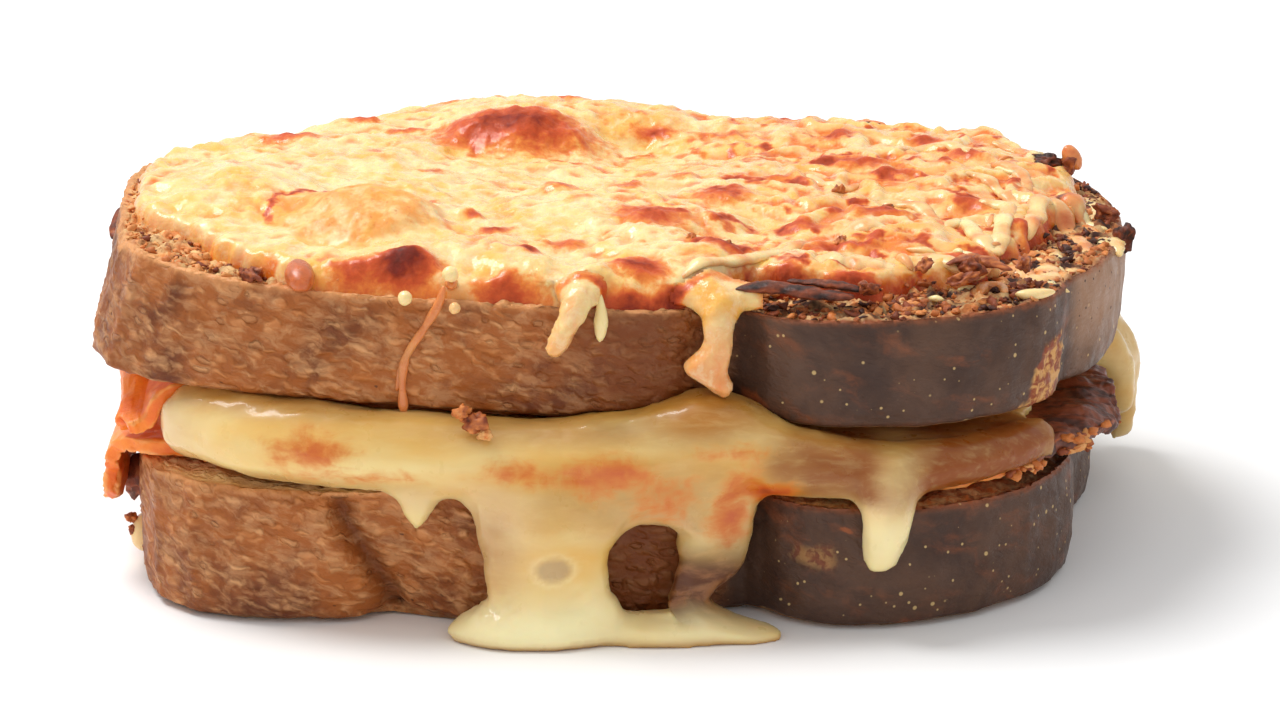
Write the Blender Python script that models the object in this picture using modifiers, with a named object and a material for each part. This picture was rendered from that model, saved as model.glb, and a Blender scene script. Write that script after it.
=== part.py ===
"""Croque monsieur: two lobed slices of a tin loaf, two slices of ham and melted cheese between
them, and a blistered gratin of cheese on top.

Metres, +Z up. The slices lie flat, +X runs from the loaf's base to its crown and -Y is the side
where most of the cheese has run out. The origin is at the bottom centre of the whole.
"""

import math

import bmesh
import bpy
from mathutils import Matrix, Vector

MM = 0.001

# Driving dimensions, in millimetres.
GAP = 0.3  # between touching pieces
REST = 0.45  # between a sheet of ham and the bread that it lies on
BREAD_BOTTOM_THICKNESS = 18.9  # at X = 0
BREAD_BOTTOM_SLOPE = 0.025  # it is thicker at the loaf's base
BREAD_TOP_THICKNESS = 16.4
BREAD_TOP_UNDERSIDE = 28.9  # height of the top slice's underside at X = 0
BREAD_TOP_SLOPE = 0.056  # the top slice rises towards the loaf's base
HAM_THICKNESS = 2.2
BREAD_POINTS = 36  # round a slice's cage, before subdivision
CHEESE_VOXEL = 1.5

# The slices seen from above, counter-clockwise from the front corner at the loaf's base.
BREAD_BOTTOM_OUTLINE = [
    (-66, -44.5), (-60, -50), (-42, -51.5), (-14, -51), (6, -51), (20, -51.5), (33, -55),
    (47, -51.5), (58, -43), (65, -29), (66.5, -14), (69, 0), (72.5, 13), (71.5, 28), (63, 40),
    (47, 48), (24, 51), (0, 52), (-25, 51.5), (-48, 49), (-61, 43), (-67.5, 30), (-69, 8),
    (-68.3, -14), (-67.3, -32),
]
BREAD_TOP_OUTLINE = [
    (-66.5, -43), (-60, -48), (-42, -50), (-14, -51), (6, -51), (20, -51), (33, -53.5),
    (47, -50.5), (58, -43), (64, -32), (69.5, -20), (74, -5), (74.5, 10), (70, 25), (60, 39),
    (44, 48), (24, 52), (2, 54), (-20, 53), (-38, 45.5), (-54, 35), (-64.5, 23), (-70, 10),
    (-71, -8), (-69.5, -26),
]
# Creases in a slice's wall: place on the outline, width, depth at the foot and at the rim.
BREAD_BOTTOM_CREASES = [
    ((-31, -51), 4.0, 5.0, 0.5),
    ((17, -51), 4.0, 8.0, 6.0),
    ((15, 52), 5.0, 5.0, 4.0),
    ((67, -12), 4.5, 3.5, 3.5),
]
BREAD_TOP_CREASES = [
    ((14.5, -51), 3.6, 9.0, 6.0),
    ((14, 52), 5.0, 5.0, 4.0),
    ((64.5, -31), 3.5, 3.4, 1.6),
]
# The top slice's foot spreads outwards at this corner: place, reach, distance.
BREAD_TOP_SPREAD = ((-67, -37), 16.0, 7.0)


def clear_scene():
    for old in list(bpy.data.objects):
        bpy.data.objects.remove(old)


def collection(name, shown=True):
    made = bpy.data.collections.new(name)
    made.hide_render = not shown
    bpy.context.scene.collection.children.link(made)
    return made


def material(name, colour, roughness):
    made = bpy.data.materials.new(name)
    made.use_nodes = True
    shader = made.node_tree.nodes["Principled BSDF"]
    shader.inputs["Base Color"].default_value = (*colour, 1.0)
    shader.inputs["Roughness"].default_value = roughness
    shader.inputs["Metallic"].default_value = 0.0
    return made


def add_object(name, mesh, home, finish=None):
    obj = bpy.data.objects.new(name, mesh)
    home.objects.link(obj)
    if finish is not None:
        mesh.materials.clear()
        mesh.materials.append(finish)
    return obj


def mesh_from(shape, name):
    """Turns a bmesh into a mesh and frees it."""
    mesh = bpy.data.meshes.new(name)
    shape.to_mesh(mesh)
    shape.free()
    return mesh


def evaluated_copy(obj):
    """The object's shape with its modifiers, as a new mesh in world space."""
    bpy.context.view_layer.update()
    graph = bpy.context.evaluated_depsgraph_get()
    mesh = bpy.data.meshes.new_from_object(obj.evaluated_get(graph), depsgraph=graph)
    mesh.transform(obj.matrix_world)
    return mesh


def ease(value, start, end):
    """0 before start, 1 after end, smooth between them."""
    t = max(0.0, min(1.0, (value - start) / (end - start)))
    return t * t * (3 - 2 * t)


def between(points, at):
    """The Catmull-Rom curve through the points, which are vectors, at = 0 at the first one."""
    last = len(points) - 1
    i = max(0, min(int(at), last - 1))
    a, b, c, d = (points[max(0, min(last, i + k))] for k in (-1, 0, 1, 2))
    t = at - i
    bend = (2 * a - 5 * b + 4 * c - d) * t**2 + (3 * b - a - 3 * c + d) * t**3
    return 0.5 * (2 * b + (c - a) * t + bend)


# --- Heights of the slices' faces ----------------------------------------------------------------


def bottom_slice_upper(x, y):
    """Height of the bottom slice's upper side, which slopes down at the front corner."""
    corner = ease(-x, 56, 70) * ease(-y, 38, 50)
    return BREAD_BOTTOM_THICKNESS - BREAD_BOTTOM_SLOPE * x - 1.2 * corner


def top_slice_sag(x, y):
    """How far the top slice's middle plane is above its height at X = 0. Its base end curls up."""
    slope = -BREAD_TOP_SLOPE * min(x, 20)
    curl = 0.0030 * max(0.0, -38 - x) ** 2
    crown_back = 1.5 * ease(x, 5, 45) * ease(y, -15, 40)
    base_back = 2.8 * ease(-x, 24, 60) * ease(y, -5, 38)
    return slope + curl + crown_back - base_back


def top_slice_under(x, y):
    """Height of the top slice's underside, which arches over the cheese at the front crease."""
    arch = 3.6 * math.exp(-(((x - 12.5) / 6.5) ** 2)) * ease(-y, 34, 50)
    corner = 2.6 * ease(-x, 60, 68) * ease(-y, 22, 40)
    return BREAD_TOP_UNDERSIDE + top_slice_sag(x, y) + arch - corner


def top_slice_upper(x, y):
    """Height of the top slice's upper side."""
    return BREAD_TOP_UNDERSIDE + BREAD_TOP_THICKNESS + top_slice_sag(x, y)


# --- Bread ---------------------------------------------------------------------------------------


def outline_points(controls, count, crowded=()):
    """Points round the smooth closed curve through the controls, closer together near the
    crowded places."""
    total = len(controls)
    loop = [Vector(controls[i % total]) for i in range(-1, total + 2)]
    steps = 24 * total
    fine = [between(loop, 1 + k * total / steps) for k in range(steps)]
    lengths = [0.0]
    for p, q in zip(fine, fine[1:] + fine[:1]):
        near = sum(math.exp(-(((p - Vector(place)).length / 9) ** 2)) for place in crowded)
        lengths.append(lengths[-1] + (q - p).length * (1 + 3 * near))
    points, at = [], 0
    for k in range(count):
        wanted = lengths[-1] * k / count
        while lengths[at + 1] < wanted:
            at += 1
        share = (wanted - lengths[at]) / (lengths[at + 1] - lengths[at])
        points.append(fine[at].lerp(fine[(at + 1) % steps], share))
    return points


def inset(points, depth):
    """The closed loop of points, moved inwards by depth(x, y)."""
    moved = []
    for i, p in enumerate(points):
        along = (points[(i + 1) % len(points)] - points[i - 1]).normalized()
        moved.append(p + Vector((-along.y, along.x)) * depth(p.x, p.y))
    return moved


def bread_slice(name, outline, under, upper, creases, home, finish, spread=None):
    """A slice as a cage of rings, from the underside round the wall to the upper side. under and
    upper give the heights of its two faces."""
    points = outline_points(outline, BREAD_POINTS, [place for place, *_ in creases])
    shape = bmesh.new()

    def ring(setback, share, height):
        """share runs from 0 at the foot of the wall to 1 at its rim."""

        def depth(x, y):
            total = setback
            for place, width, at_foot, at_rim in creases:
                near = math.exp(-(((Vector((x, y)) - Vector(place)).length / width) ** 2))
                total += near * (at_foot + (at_rim - at_foot) * share)
            return total

        made = []
        for p in inset(points, depth):
            low, high = under(p.x, p.y), upper(p.x, p.y)
            if spread:
                place, reach, distance = spread
                near = math.exp(-(((p - Vector(place)).length / reach) ** 2))
                p.x -= distance * near * (1 - share)
            made.append(shape.verts.new(Vector((p.x, p.y, low + (high - low) * share + height)) * MM))
        return made

    rings = [
        ring(9.0, 0.0, 0.0), ring(1.0, 0.0, 0.0), ring(0.0, 0.0, 1.6),
        ring(0.0, 1.0, -1.0), ring(0.5, 1.0, 0.0), ring(9.0, 1.0, 0.0),
    ]
    for lower, higher in zip(rings, rings[1:]):
        for i in range(BREAD_POINTS):
            j = (i + 1) % BREAD_POINTS
            shape.faces.new((lower[i], lower[j], higher[j], higher[i]))
    shape.faces.new(rings[0][::-1])
    shape.faces.new(rings[-1])
    mesh = mesh_from(shape, name)
    mesh.shade_smooth()
    obj = add_object(name, mesh, home, finish)
    smooth = obj.modifiers.new("Round", "SUBSURF")
    smooth.levels = smooth.render_levels = 1
    obj.modifiers.new("Triangles", "TRIANGULATE")
    return obj


# --- Ham -----------------------------------------------------------------------------------------


def ham_slice(name, stations, surface, ripple, home, finish):
    """A sheet through stations (x, rise, front, back): there it lies that far above surface(x, y)
    and reaches from front to back along Y. ripple(x, y, side) raises it further."""
    columns, rows = 22, 8
    shape = bmesh.new()
    bmesh.ops.create_grid(shape, x_segments=columns, y_segments=rows, size=1.0)
    marks = [Vector(station) for station in stations]
    for v in shape.verts:
        along = (v.co.x + 1) / 2 * (len(marks) - 1)
        side = v.co.y
        x, rise, front, back = between(marks, along)
        ragged = 0.8 * math.sin(along * 4.7) + 0.5 * math.sin(along * 10.9 + side)
        y = front + (back - front) * (side + 1) / 2 + side * ragged
        shift, lift = ripple(x, y, side)
        v.co = Vector((x + shift, y, surface(x, y) + rise + lift)) * MM
    obj = add_object(name, mesh_from(shape, name), home, finish)
    obj.data.shade_smooth()
    thick = obj.modifiers.new("Thickness", "SOLIDIFY")
    thick.thickness = HAM_THICKNESS * MM
    thick.offset = 0.0
    obj.modifiers.new("Triangles", "TRIANGULATE")
    return obj


def lower_ham(home, finish):
    """Lies on the bottom slice, slopes out of the crown's front and hangs down at the base."""
    lying = REST + HAM_THICKNESS / 2
    stations = [
        (70.5, lying + 1.6, -24, -8), (68.5, lying + 2.2, -29, 2), (64, lying + 2.6, -35, 12),
        (57, lying + 1.8, -41, 22), (47, lying + 0.2, -47, 30), (25, lying, -46, 34),
        (0, lying, -45, 35), (-25, lying, -45, 34), (-48, lying, -43, 30), (-62, lying, -40, 22),
        (-68.2, lying - 0.2, -37, 12), (-70.4, lying - 3, -34, 5), (-70.8, lying - 7, -32, -2),
        (-71.4, lying - 11, -30, -10),
    ]

    def ripple(x, y, side):
        crown = ease(x, 42, 56)
        folds = 0.5 * math.sin(y * 0.62) * ease(x, 58, 66)
        return 0.0, crown * (3.0 * (1 - side**2) + folds)

    return ham_slice("ham_lower", stations, bottom_slice_upper, ripple, home, finish)


def upper_ham(home, finish):
    """Lies under the top slice, and its end curls down over the loaf's base."""
    under = -REST - 0.15 - HAM_THICKNESS / 2
    stations = [
        (38, under, -34, 18), (25, under, -40, 28), (0, under, -42, 30), (-25, under, -42, 30),
        (-48, under - 0.1, -42, 26), (-58, under - 0.7, -42.5, 20), (-64, under - 1.2, -43, 14),
        (-66.8, under - 1.8, -42, 6), (-68.2, under - 3.4, -40, -4), (-68.0, under - 5.4, -38, -12),
    ]

    def ripple(x, y, side):
        flap = ease(-side, 0.55, 1.0) * ease(-x, 61.5, 65) * ease(70 + x, 0, 4)
        return ease(-x, 64, 70) * 0.6 * math.sin(y * 0.33 + 0.6), -4.0 * flap

    return ham_slice("ham_upper", stations, top_slice_under, ripple, home, finish)


# --- Melted cheese -------------------------------------------------------------------------------


def ball(shape, centre, radii):
    """An ellipsoid, in millimetres."""
    place = Matrix.Translation(Vector(centre) * MM)
    size = Matrix.Diagonal((*(r * MM for r in radii), 1.0))
    bmesh.ops.create_uvsphere(
        shape, u_segments=20, v_segments=12, radius=1.0, matrix=place @ size
    )


def strand(shape, *stations):
    """A run of melted cheese through stations (x, y, z, radius), in millimetres."""
    curve = bpy.data.curves.new("Strand", "CURVE")
    curve.dimensions = "3D"
    curve.bevel_depth = MM
    curve.bevel_resolution = 3
    curve.resolution_u = 6
    curve.use_fill_caps = True
    line = curve.splines.new("BEZIER")
    line.bezier_points.add(len(stations) - 1)
    for point, (x, y, z, radius) in zip(line.bezier_points, stations):
        point.co = Vector((x, y, z)) * MM
        point.radius = radius
        point.handle_left_type = point.handle_right_type = "AUTO"
    guide = bpy.data.objects.new("Strand", curve)
    bpy.context.scene.collection.objects.link(guide)
    shape.from_mesh(evaluated_copy(guide))
    bpy.data.objects.remove(guide)
    for x, y, z, radius in (stations[0], stations[-1]):
        ball(shape, (x, y, z), (radius, radius, radius))


def slab(shape, points, lowest, highest):
    """A plate with this outline. lowest and highest give its faces' heights at a place (x, y)."""
    lower = [shape.verts.new(Vector((p.x, p.y, lowest(p.x, p.y))) * MM) for p in points]
    upper = [shape.verts.new(Vector((p.x, p.y, highest(p.x, p.y))) * MM) for p in points]
    for i in range(len(points)):
        j = (i + 1) % len(points)
        shape.faces.new((lower[i], lower[j], upper[j], upper[i]))
    shape.faces.new(lower[::-1])
    shape.faces.new(upper)


def loose_bodies(shape):
    """The separate bodies of a bmesh, as lists of vertices, the largest first."""
    left, bodies = set(shape.verts), []
    while left:
        body, todo = [], [left.pop()]
        while todo:
            v = todo.pop()
            body.append(v)
            for edge in v.link_edges:
                other = edge.other_vert(v)
                if other in left:
                    left.remove(other)
                    todo.append(other)
        bodies.append(body)
    return sorted(bodies, key=len, reverse=True)


def melted(name, shape, triangles, neighbours, home, cutters, finish):
    """Runs the shapes together into one soft body of about this many triangles, and cuts it back
    from its neighbours."""
    blobs = add_object(name + "_blobs", mesh_from(shape, name + "_blobs"), cutters)
    remesh = blobs.modifiers.new("Fuse", "REMESH")
    remesh.mode = "VOXEL"
    remesh.voxel_size = CHEESE_VOXEL * MM
    soften = blobs.modifiers.new("Soften", "SMOOTH")
    soften.factor = 0.5
    soften.iterations = 4
    fused = evaluated_copy(blobs)
    bpy.data.objects.remove(blobs)

    body = add_object(name, fused, home, finish)
    thin = body.modifiers.new("Thin", "DECIMATE")
    thin.ratio = triangles / (2 * len(fused.polygons))
    body.data = evaluated_copy(body)
    body.modifiers.clear()

    for neighbour in neighbours:
        cut = body.modifiers.new("Clear_" + neighbour.name, "BOOLEAN")
        cut.operation = "DIFFERENCE"
        cut.solver = "EXACT"
        cut.object = neighbour
    trimmed = bmesh.new()
    trimmed.from_mesh(evaluated_copy(body))
    body.modifiers.clear()
    bmesh.ops.remove_doubles(trimmed, verts=trimmed.verts, dist=0.002 * MM)
    for scrap in loose_bodies(trimmed)[1:]:
        bmesh.ops.delete(trimmed, geom=scrap, context="VERTS")
    bmesh.ops.triangulate(trimmed, faces=trimmed.faces)
    body.data = mesh_from(trimmed, name)
    body.data.materials.append(finish)
    body.data.shade_smooth()
    return body


def grown_copy(obj, cutters):
    """The piece made larger by the gap on every side, to cut its neighbours back with."""
    cutter = add_object("clear_of_" + obj.name, evaluated_copy(obj), cutters)
    swell = cutter.modifiers.new("Gap", "DISPLACE")
    swell.strength = GAP * MM
    swell.mid_level = 0.0
    cutter.display_type = "WIRE"
    cutter.hide_render = True
    return cutter


def ground_block(cutters):
    """Everything below the surface that the part rests on."""
    shape = bmesh.new()
    side, depth = 400, 40
    place = Matrix.Translation((0, 0, -depth / 2 * MM))
    size = Matrix.Diagonal((side * MM, side * MM, depth * MM, 1.0))
    bmesh.ops.create_cube(shape, size=1.0, matrix=place @ size)
    block = add_object("ground", mesh_from(shape, "ground"), cutters)
    block.display_type = "WIRE"
    block.hide_render = True
    return block


def filling_shapes():
    """The cheese between the slices, its bulges along the front and the back, the curtain that
    has run down to a pool on the ground, and the drips at the crown, the base and the back."""
    shape = bmesh.new()
    inside = inset(outline_points(BREAD_BOTTOM_OUTLINE, 48), lambda x, y: 6.0)
    slab(
        shape, inside, lambda x, y: bottom_slice_upper(x, y) + 3.2,
        lambda x, y: top_slice_under(x, y) - 2.4,
    )
    # The bulges along the front and the back.
    strand(
        shape, (-57.4, -42.4, 27.2, 5.6), (-47, -48, 26.4, 6.0), (-28, -50.8, 25.0, 5.6),
        (-8, -51.5, 24.2, 5.8), (5, -50.8, 25.0, 6.6), (13.5, -49.4, 26.6, 7.0),
        (23, -51, 23.8, 4.8), (38, -50.5, 22.6, 3.8), (50, -45.5, 22.8, 3.4),
        (58, -38.5, 23.0, 3.2),
    )
    strand(
        shape, (-52, 40, 27.5, 4.6), (-30, 47.5, 25.6, 5.4), (-5, 49.5, 24.4, 5.0),
        (14, 46, 24.0, 5.0), (32, 47, 24.2, 4.8), (52, 40, 24.6, 5.0), (64, 29, 24.8, 5.2),
    )
    # Between the two slices of ham at the loaf's base.
    strand(shape, (-57, -30, 26.6, 3.4), (-62.5, -12, 26.4, 3.4), (-63, 10, 26.2, 3.8), (-56, 36, 26.8, 4.6))
    # The curtain in front of the bottom slice, with a window through it.
    strand(shape, (-11, -53, 22, 5.4), (-10, -55, 15, 4.4), (-9.6, -55.6, 9, 3.8), (-11, -56, 3, 4.5))
    strand(shape, (-16.5, -52.5, 21, 4.0), (-15.6, -54.6, 14, 2.8), (-15.4, -55.6, 8, 2.6))
    strand(shape, (-5, -53.5, 20, 4.4), (-4.2, -55, 13, 3.0), (-4.4, -55.6, 6, 3.2))
    strand(shape, (-1, -53.4, 19.6, 3.8), (6, -53.2, 19, 3.6), (14, -51.4, 18.6, 3.6))
    strand(shape, (12.5, -52, 17, 3.2), (12, -53, 10, 2.2), (10.5, -53.8, 2.6, 2.2))
    strand(shape, (16.5, -50.6, 17, 2.8), (15.8, -51.4, 10, 2.2), (14, -53, 2.4, 2.2))
    # The pool.
    ball(shape, (-11, -55.4, 1.0), (12.5, 6.6, 3.6))
    ball(shape, (5.5, -55.2, 0.4), (15.5, 5.2, 2.8))
    # Drips on the front.
    strand(shape, (-27.5, -51.5, 21, 3.2), (-26.8, -53.6, 16.6, 2.0))
    strand(
        shape, (36.5, -52.5, 22, 4.2), (36.6, -55.4, 16.5, 3.6), (35.4, -56, 11.4, 2.5),
    )
    # A drip at the loaf's base, the sheet over the crown's far side, and drips at the back.
    strand(shape, (-60, 31, 27, 4.2), (-68.6, 31, 22, 2.8), (-69.6, 31, 13, 2.2))
    strand(shape, (66, 7, 25, 4.4), (73.4, 8, 21.6, 3.2), (75.2, 9, 14, 2.4))
    strand(shape, (67, 14, 26, 4.8), (74.5, 15, 21.6, 3.4), (76.3, 16, 13, 2.6), (76.2, 17, 7, 2.2))
    strand(shape, (67, 21, 26, 4.8), (74.4, 22, 21, 3.4), (75.6, 22, 14, 2.4))
    strand(shape, (64, 28, 25, 4.8), (73, 29, 20, 3.4), (75, 30, 12, 2.6), (75, 30, 6, 2.4))
    strand(shape, (-28, 49, 23, 4.4), (-27, 54, 15, 3.0), (-27.5, 54.6, 8, 3.4))
    strand(shape, (34, 48, 22, 4.0), (35, 53.6, 15.5, 3.0))
    return shape


def topping_shapes():
    """The gratin: a sheet of cheese over the top slice with blisters, and drips over its rim."""
    shape = bmesh.new()

    def bare_rim(x, y):
        """How far the cheese stops short of the slice's edge."""
        corner = math.exp(-(((x + 62) / 14) ** 2 + ((y + 42) / 7) ** 2))
        crown = ease(x, 18, 32) * ease(-y, 20, 36)
        return 2.0 + 4.5 * corner + 4.5 * crown + 1.5 * ease(-x, 60, 70)

    sheet = inset(outline_points(BREAD_TOP_OUTLINE, 64), bare_rim)
    slab(
        shape, sheet, lambda x, y: top_slice_upper(x, y) - 1,
        lambda x, y: top_slice_upper(x, y) + 2.6 - 0.8 * ease(x, 30, 60),
    )
    # Swells and blisters: x, y, height of the centre above the slice, radii.
    swells = [
        (-34, -28, 2.4, 12.5, 9.5, 5.4), (-15, 27, 3.0, 13, 8, 5.2), (-55, -14, 2.2, 13, 17, 3.6),
        (-42, 12, 2.0, 20, 18, 3.2), (-8, -16, 2.2, 22, 17, 3.4), (-12, 40, 2.4, 28, 11, 4.8),
        (18, 4, 2.0, 24, 22, 3.3), (24, 34, 2.0, 24, 13, 3.4), (46, 14, 1.8, 22, 22, 3.0),
        (-19, -39, 2.0, 9, 7, 3.4), (-29, -42, 2.0, 10, 6, 3.0), (5, -36, 2.0, 13, 9, 3.2),
        (12, -18, 3.2, 6, 5, 3.0), (4, -29, 3.0, 7, 5, 2.8), (34, -20, 1.8, 16, 13, 3.0),
        (22, -36, 1.8, 13, 8, 2.6), (-40, 32, 1.8, 13, 9, 3.0), (-3, -45, 1.6, 8, 4.5, 2.8),
        (56, -8, 1.2, 12, 18, 2.6), (-12, -44, 1.6, 6, 5, 3.4), (52, 30, 1.4, 12, 9, 3.0),
    ]
    for x, y, lift, rx, ry, rz in swells:
        ball(shape, (x, y, top_slice_upper(x, y) + lift), (rx, ry, rz))
    # Drips over the front rim and, thicker, at the back.
    rim = top_slice_upper(0, -50)
    strand(
        shape, (-4, -47, rim + 2.4, 3.2), (-5.4, -52.4, rim + 0.4, 2.4), (-7, -53.8, rim - 5, 2.0),
        (-8.4, -54, rim - 9, 2.0),
    )
    strand(
        shape, (11.5, -43, rim + 1.4, 3.0), (13.4, -49.4, rim - 1.0, 2.3),
        (13.8, -51, rim - 7, 2.2), (12.6, -51.4, rim - 10.5, 2.4),
    )
    for x, fall, radius in ((-14, 6, 2.8), (39, 5, 2.4)):
        edge = top_slice_upper(x, 50)
        strand(shape, (x, 48, edge - 0.5, radius + 1), (x - 1, 55 - abs(x) / 16, edge - fall, radius))
    return shape


# --- The whole -----------------------------------------------------------------------------------


def centre_on_origin(pieces):
    """Moves the pieces so that the origin is at the bottom centre of the box round them."""
    corners = [v.co for piece in pieces for v in evaluated_copy(piece).vertices]
    low = Vector([min(c[k] for c in corners) for k in range(3)])
    high = Vector([max(c[k] for c in corners) for k in range(3)])
    middle = (low + high) / 2
    for piece in pieces:
        piece.location -= Vector((middle.x, middle.y, low.z))


def build():
    clear_scene()
    parts = collection("Croque_monsieur")
    cutters = collection("Cutters", shown=False)
    crust = material("Crust", (0.30, 0.13, 0.05), 0.6)
    ham = material("Ham", (0.72, 0.20, 0.07), 0.4)
    filling = material("Filling_cheese", (0.86, 0.62, 0.25), 0.3)
    gratin = material("Gratin_cheese", (0.95, 0.66, 0.30), 0.35)

    bread_bottom = bread_slice(
        "bread_bottom", BREAD_BOTTOM_OUTLINE, lambda x, y: 0.0, bottom_slice_upper,
        BREAD_BOTTOM_CREASES, parts, crust,
    )
    bread_top = bread_slice(
        "bread_top", BREAD_TOP_OUTLINE, top_slice_under, top_slice_upper,
        BREAD_TOP_CREASES, parts, crust, spread=BREAD_TOP_SPREAD,
    )
    ham_lower = lower_ham(parts, ham)
    ham_upper = upper_ham(parts, ham)

    firm = [
        grown_copy(piece, cutters) for piece in (bread_bottom, bread_top, ham_lower, ham_upper)
    ]
    cheese_filling = melted(
        "cheese_filling", filling_shapes(), 1900, firm + [ground_block(cutters)],
        parts, cutters, filling,
    )
    cheese_topping = melted(
        "cheese_topping", topping_shapes(), 1700,
        [firm[1], grown_copy(cheese_filling, cutters)], parts, cutters, gratin,
    )
    centre_on_origin(
        [bread_bottom, bread_top, ham_lower, ham_upper, cheese_filling, cheese_topping]
    )


build()
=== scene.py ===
import math
import random

import bmesh
import bpy
import numpy as np
from mathutils import Euler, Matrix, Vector, noise
from mathutils.bvhtree import BVHTree
from mathutils.kdtree import KDTree


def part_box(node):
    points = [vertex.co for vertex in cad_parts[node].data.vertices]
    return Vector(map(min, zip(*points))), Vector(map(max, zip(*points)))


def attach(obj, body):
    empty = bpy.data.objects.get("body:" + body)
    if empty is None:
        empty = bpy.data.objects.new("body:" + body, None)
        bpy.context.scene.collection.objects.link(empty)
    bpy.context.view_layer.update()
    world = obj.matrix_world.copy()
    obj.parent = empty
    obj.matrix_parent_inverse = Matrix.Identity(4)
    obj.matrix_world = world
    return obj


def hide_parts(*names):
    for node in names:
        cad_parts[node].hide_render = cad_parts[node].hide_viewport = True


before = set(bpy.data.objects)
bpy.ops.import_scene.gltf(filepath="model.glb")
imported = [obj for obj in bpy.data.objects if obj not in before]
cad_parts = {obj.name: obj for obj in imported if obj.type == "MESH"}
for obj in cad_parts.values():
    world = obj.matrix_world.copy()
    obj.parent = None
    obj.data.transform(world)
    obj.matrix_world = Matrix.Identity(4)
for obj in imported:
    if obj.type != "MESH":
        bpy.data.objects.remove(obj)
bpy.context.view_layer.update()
mm = 0.001  # measures below are in millimetres unless a note says otherwise
print("frame loaded:", sorted(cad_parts))


# small helpers

def shade(red, green, blue):
    # a screen colour, 0 to 255, as the linear one that a socket takes
    linear = [((c / 255 + 0.055) / 1.055) ** 2.4 if c > 10 else c / 3294 for c in (red, green, blue)]
    return (*linear, 1.0)


def ease(value, start, end):
    t = np.clip((np.asarray(value, float) - start) / (end - start), 0, 1)
    return t * t * (3 - 2 * t)


def hump(value, middle, reach):
    return np.exp(-((np.asarray(value, float) - middle) / reach) ** 2)


def cloud(points, size, octaves=3, seed=0.0):
    # smooth noise from about -1 to 1 at each point; size is that of one lump, one number or three
    scaled = points / size + seed * 7.31
    return np.array([noise.fractal(Vector(p), 0.9, 2.1, octaves) for p in scaled.tolist()])


def cells(points, size, seed=0.0):
    # distance to the nearest of scattered points, 0 at one and about 0.7 between them
    scaled = points / size + seed * 5.17
    return np.array([noise.voronoi(Vector(p))[0][0] for p in scaled.tolist()])


def placesOf(mesh):
    flat = np.empty(len(mesh.vertices) * 3)
    mesh.vertices.foreach_get("co", flat)
    return flat.reshape(-1, 3) / mm


def normalsOf(mesh):
    flat = np.empty(len(mesh.vertices) * 3, dtype=np.float32)
    mesh.vertex_normals.foreach_get("vector", flat)
    return flat.reshape(-1, 3).astype(float)


def movePoints(mesh, places):
    mesh.vertices.foreach_set("co", (places * mm).ravel())
    mesh.update()


def addField(mesh, name, values):
    field = mesh.attributes.new(name, "FLOAT", "POINT")
    field.data.foreach_set("value", np.asarray(values, dtype=np.float32))


def addVectors(mesh, name, values, domain="POINT"):
    field = mesh.attributes.new(name, "FLOAT_VECTOR", domain)
    field.data.foreach_set("vector", np.asarray(values, dtype=np.float32).ravel())


def makePiece(name, places, faces, finish):
    mesh = bpy.data.meshes.new(name)
    mesh.from_pydata((np.asarray(places) * mm).tolist(), [], faces)
    mesh.validate()
    mesh.shade_smooth()
    piece = bpy.data.objects.new(name, mesh)
    bpy.context.scene.collection.objects.link(piece)
    mesh.materials.append(finish)
    return piece


def settle(piece):
    # the piece's modifiers become its mesh
    bpy.context.view_layer.update()
    graph = bpy.context.evaluated_depsgraph_get()
    mesh = bpy.data.meshes.new_from_object(piece.evaluated_get(graph), depsgraph=graph)
    piece.modifiers.clear()
    piece.data = mesh
    mesh.shade_smooth()
    return mesh


def copyNode(name, node, finish):
    # a piece with the welded surface of the CAD node
    shape = bmesh.new()
    shape.from_mesh(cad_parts[node].data)
    bmesh.ops.remove_doubles(shape, verts=shape.verts, dist=0.01 * mm)
    mesh = bpy.data.meshes.new(name)
    shape.to_mesh(mesh)
    shape.free()
    mesh.materials.clear()
    mesh.materials.append(finish)
    piece = bpy.data.objects.new(name, mesh)
    bpy.context.scene.collection.objects.link(piece)
    return piece


def soften(piece, rounds):
    soft = piece.modifiers.new("soften", "SMOOTH")
    soft.factor = 0.5
    soft.iterations = rounds
    return settle(piece)


def skinNode(name, node, finish, voxel, rounds):
    # a fine even skin over the CAD node
    piece = copyNode(name, node, finish)
    skin = piece.modifiers.new("skin", "REMESH")
    skin.mode = "VOXEL"
    skin.voxel_size = voxel * mm
    soften(piece, rounds)
    return piece


def nodeTree(node):
    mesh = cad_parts[node].data
    return BVHTree.FromPolygons([v.co[:] for v in mesh.vertices], [p.vertices[:] for p in mesh.polygons])


def frontOf(tree, x, z, fallback):
    hit = tree.ray_cast(Vector((x, -200, z)) * mm, Vector((0, 1, 0)))[0]
    return hit.y / mm if hit else fallback


def topOf(tree, x, y, fallback):
    hit = tree.ray_cast(Vector((x, y, 200)) * mm, Vector((0, 0, -1)))[0]
    return hit.z / mm if hit else fallback


# shader building blocks

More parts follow.
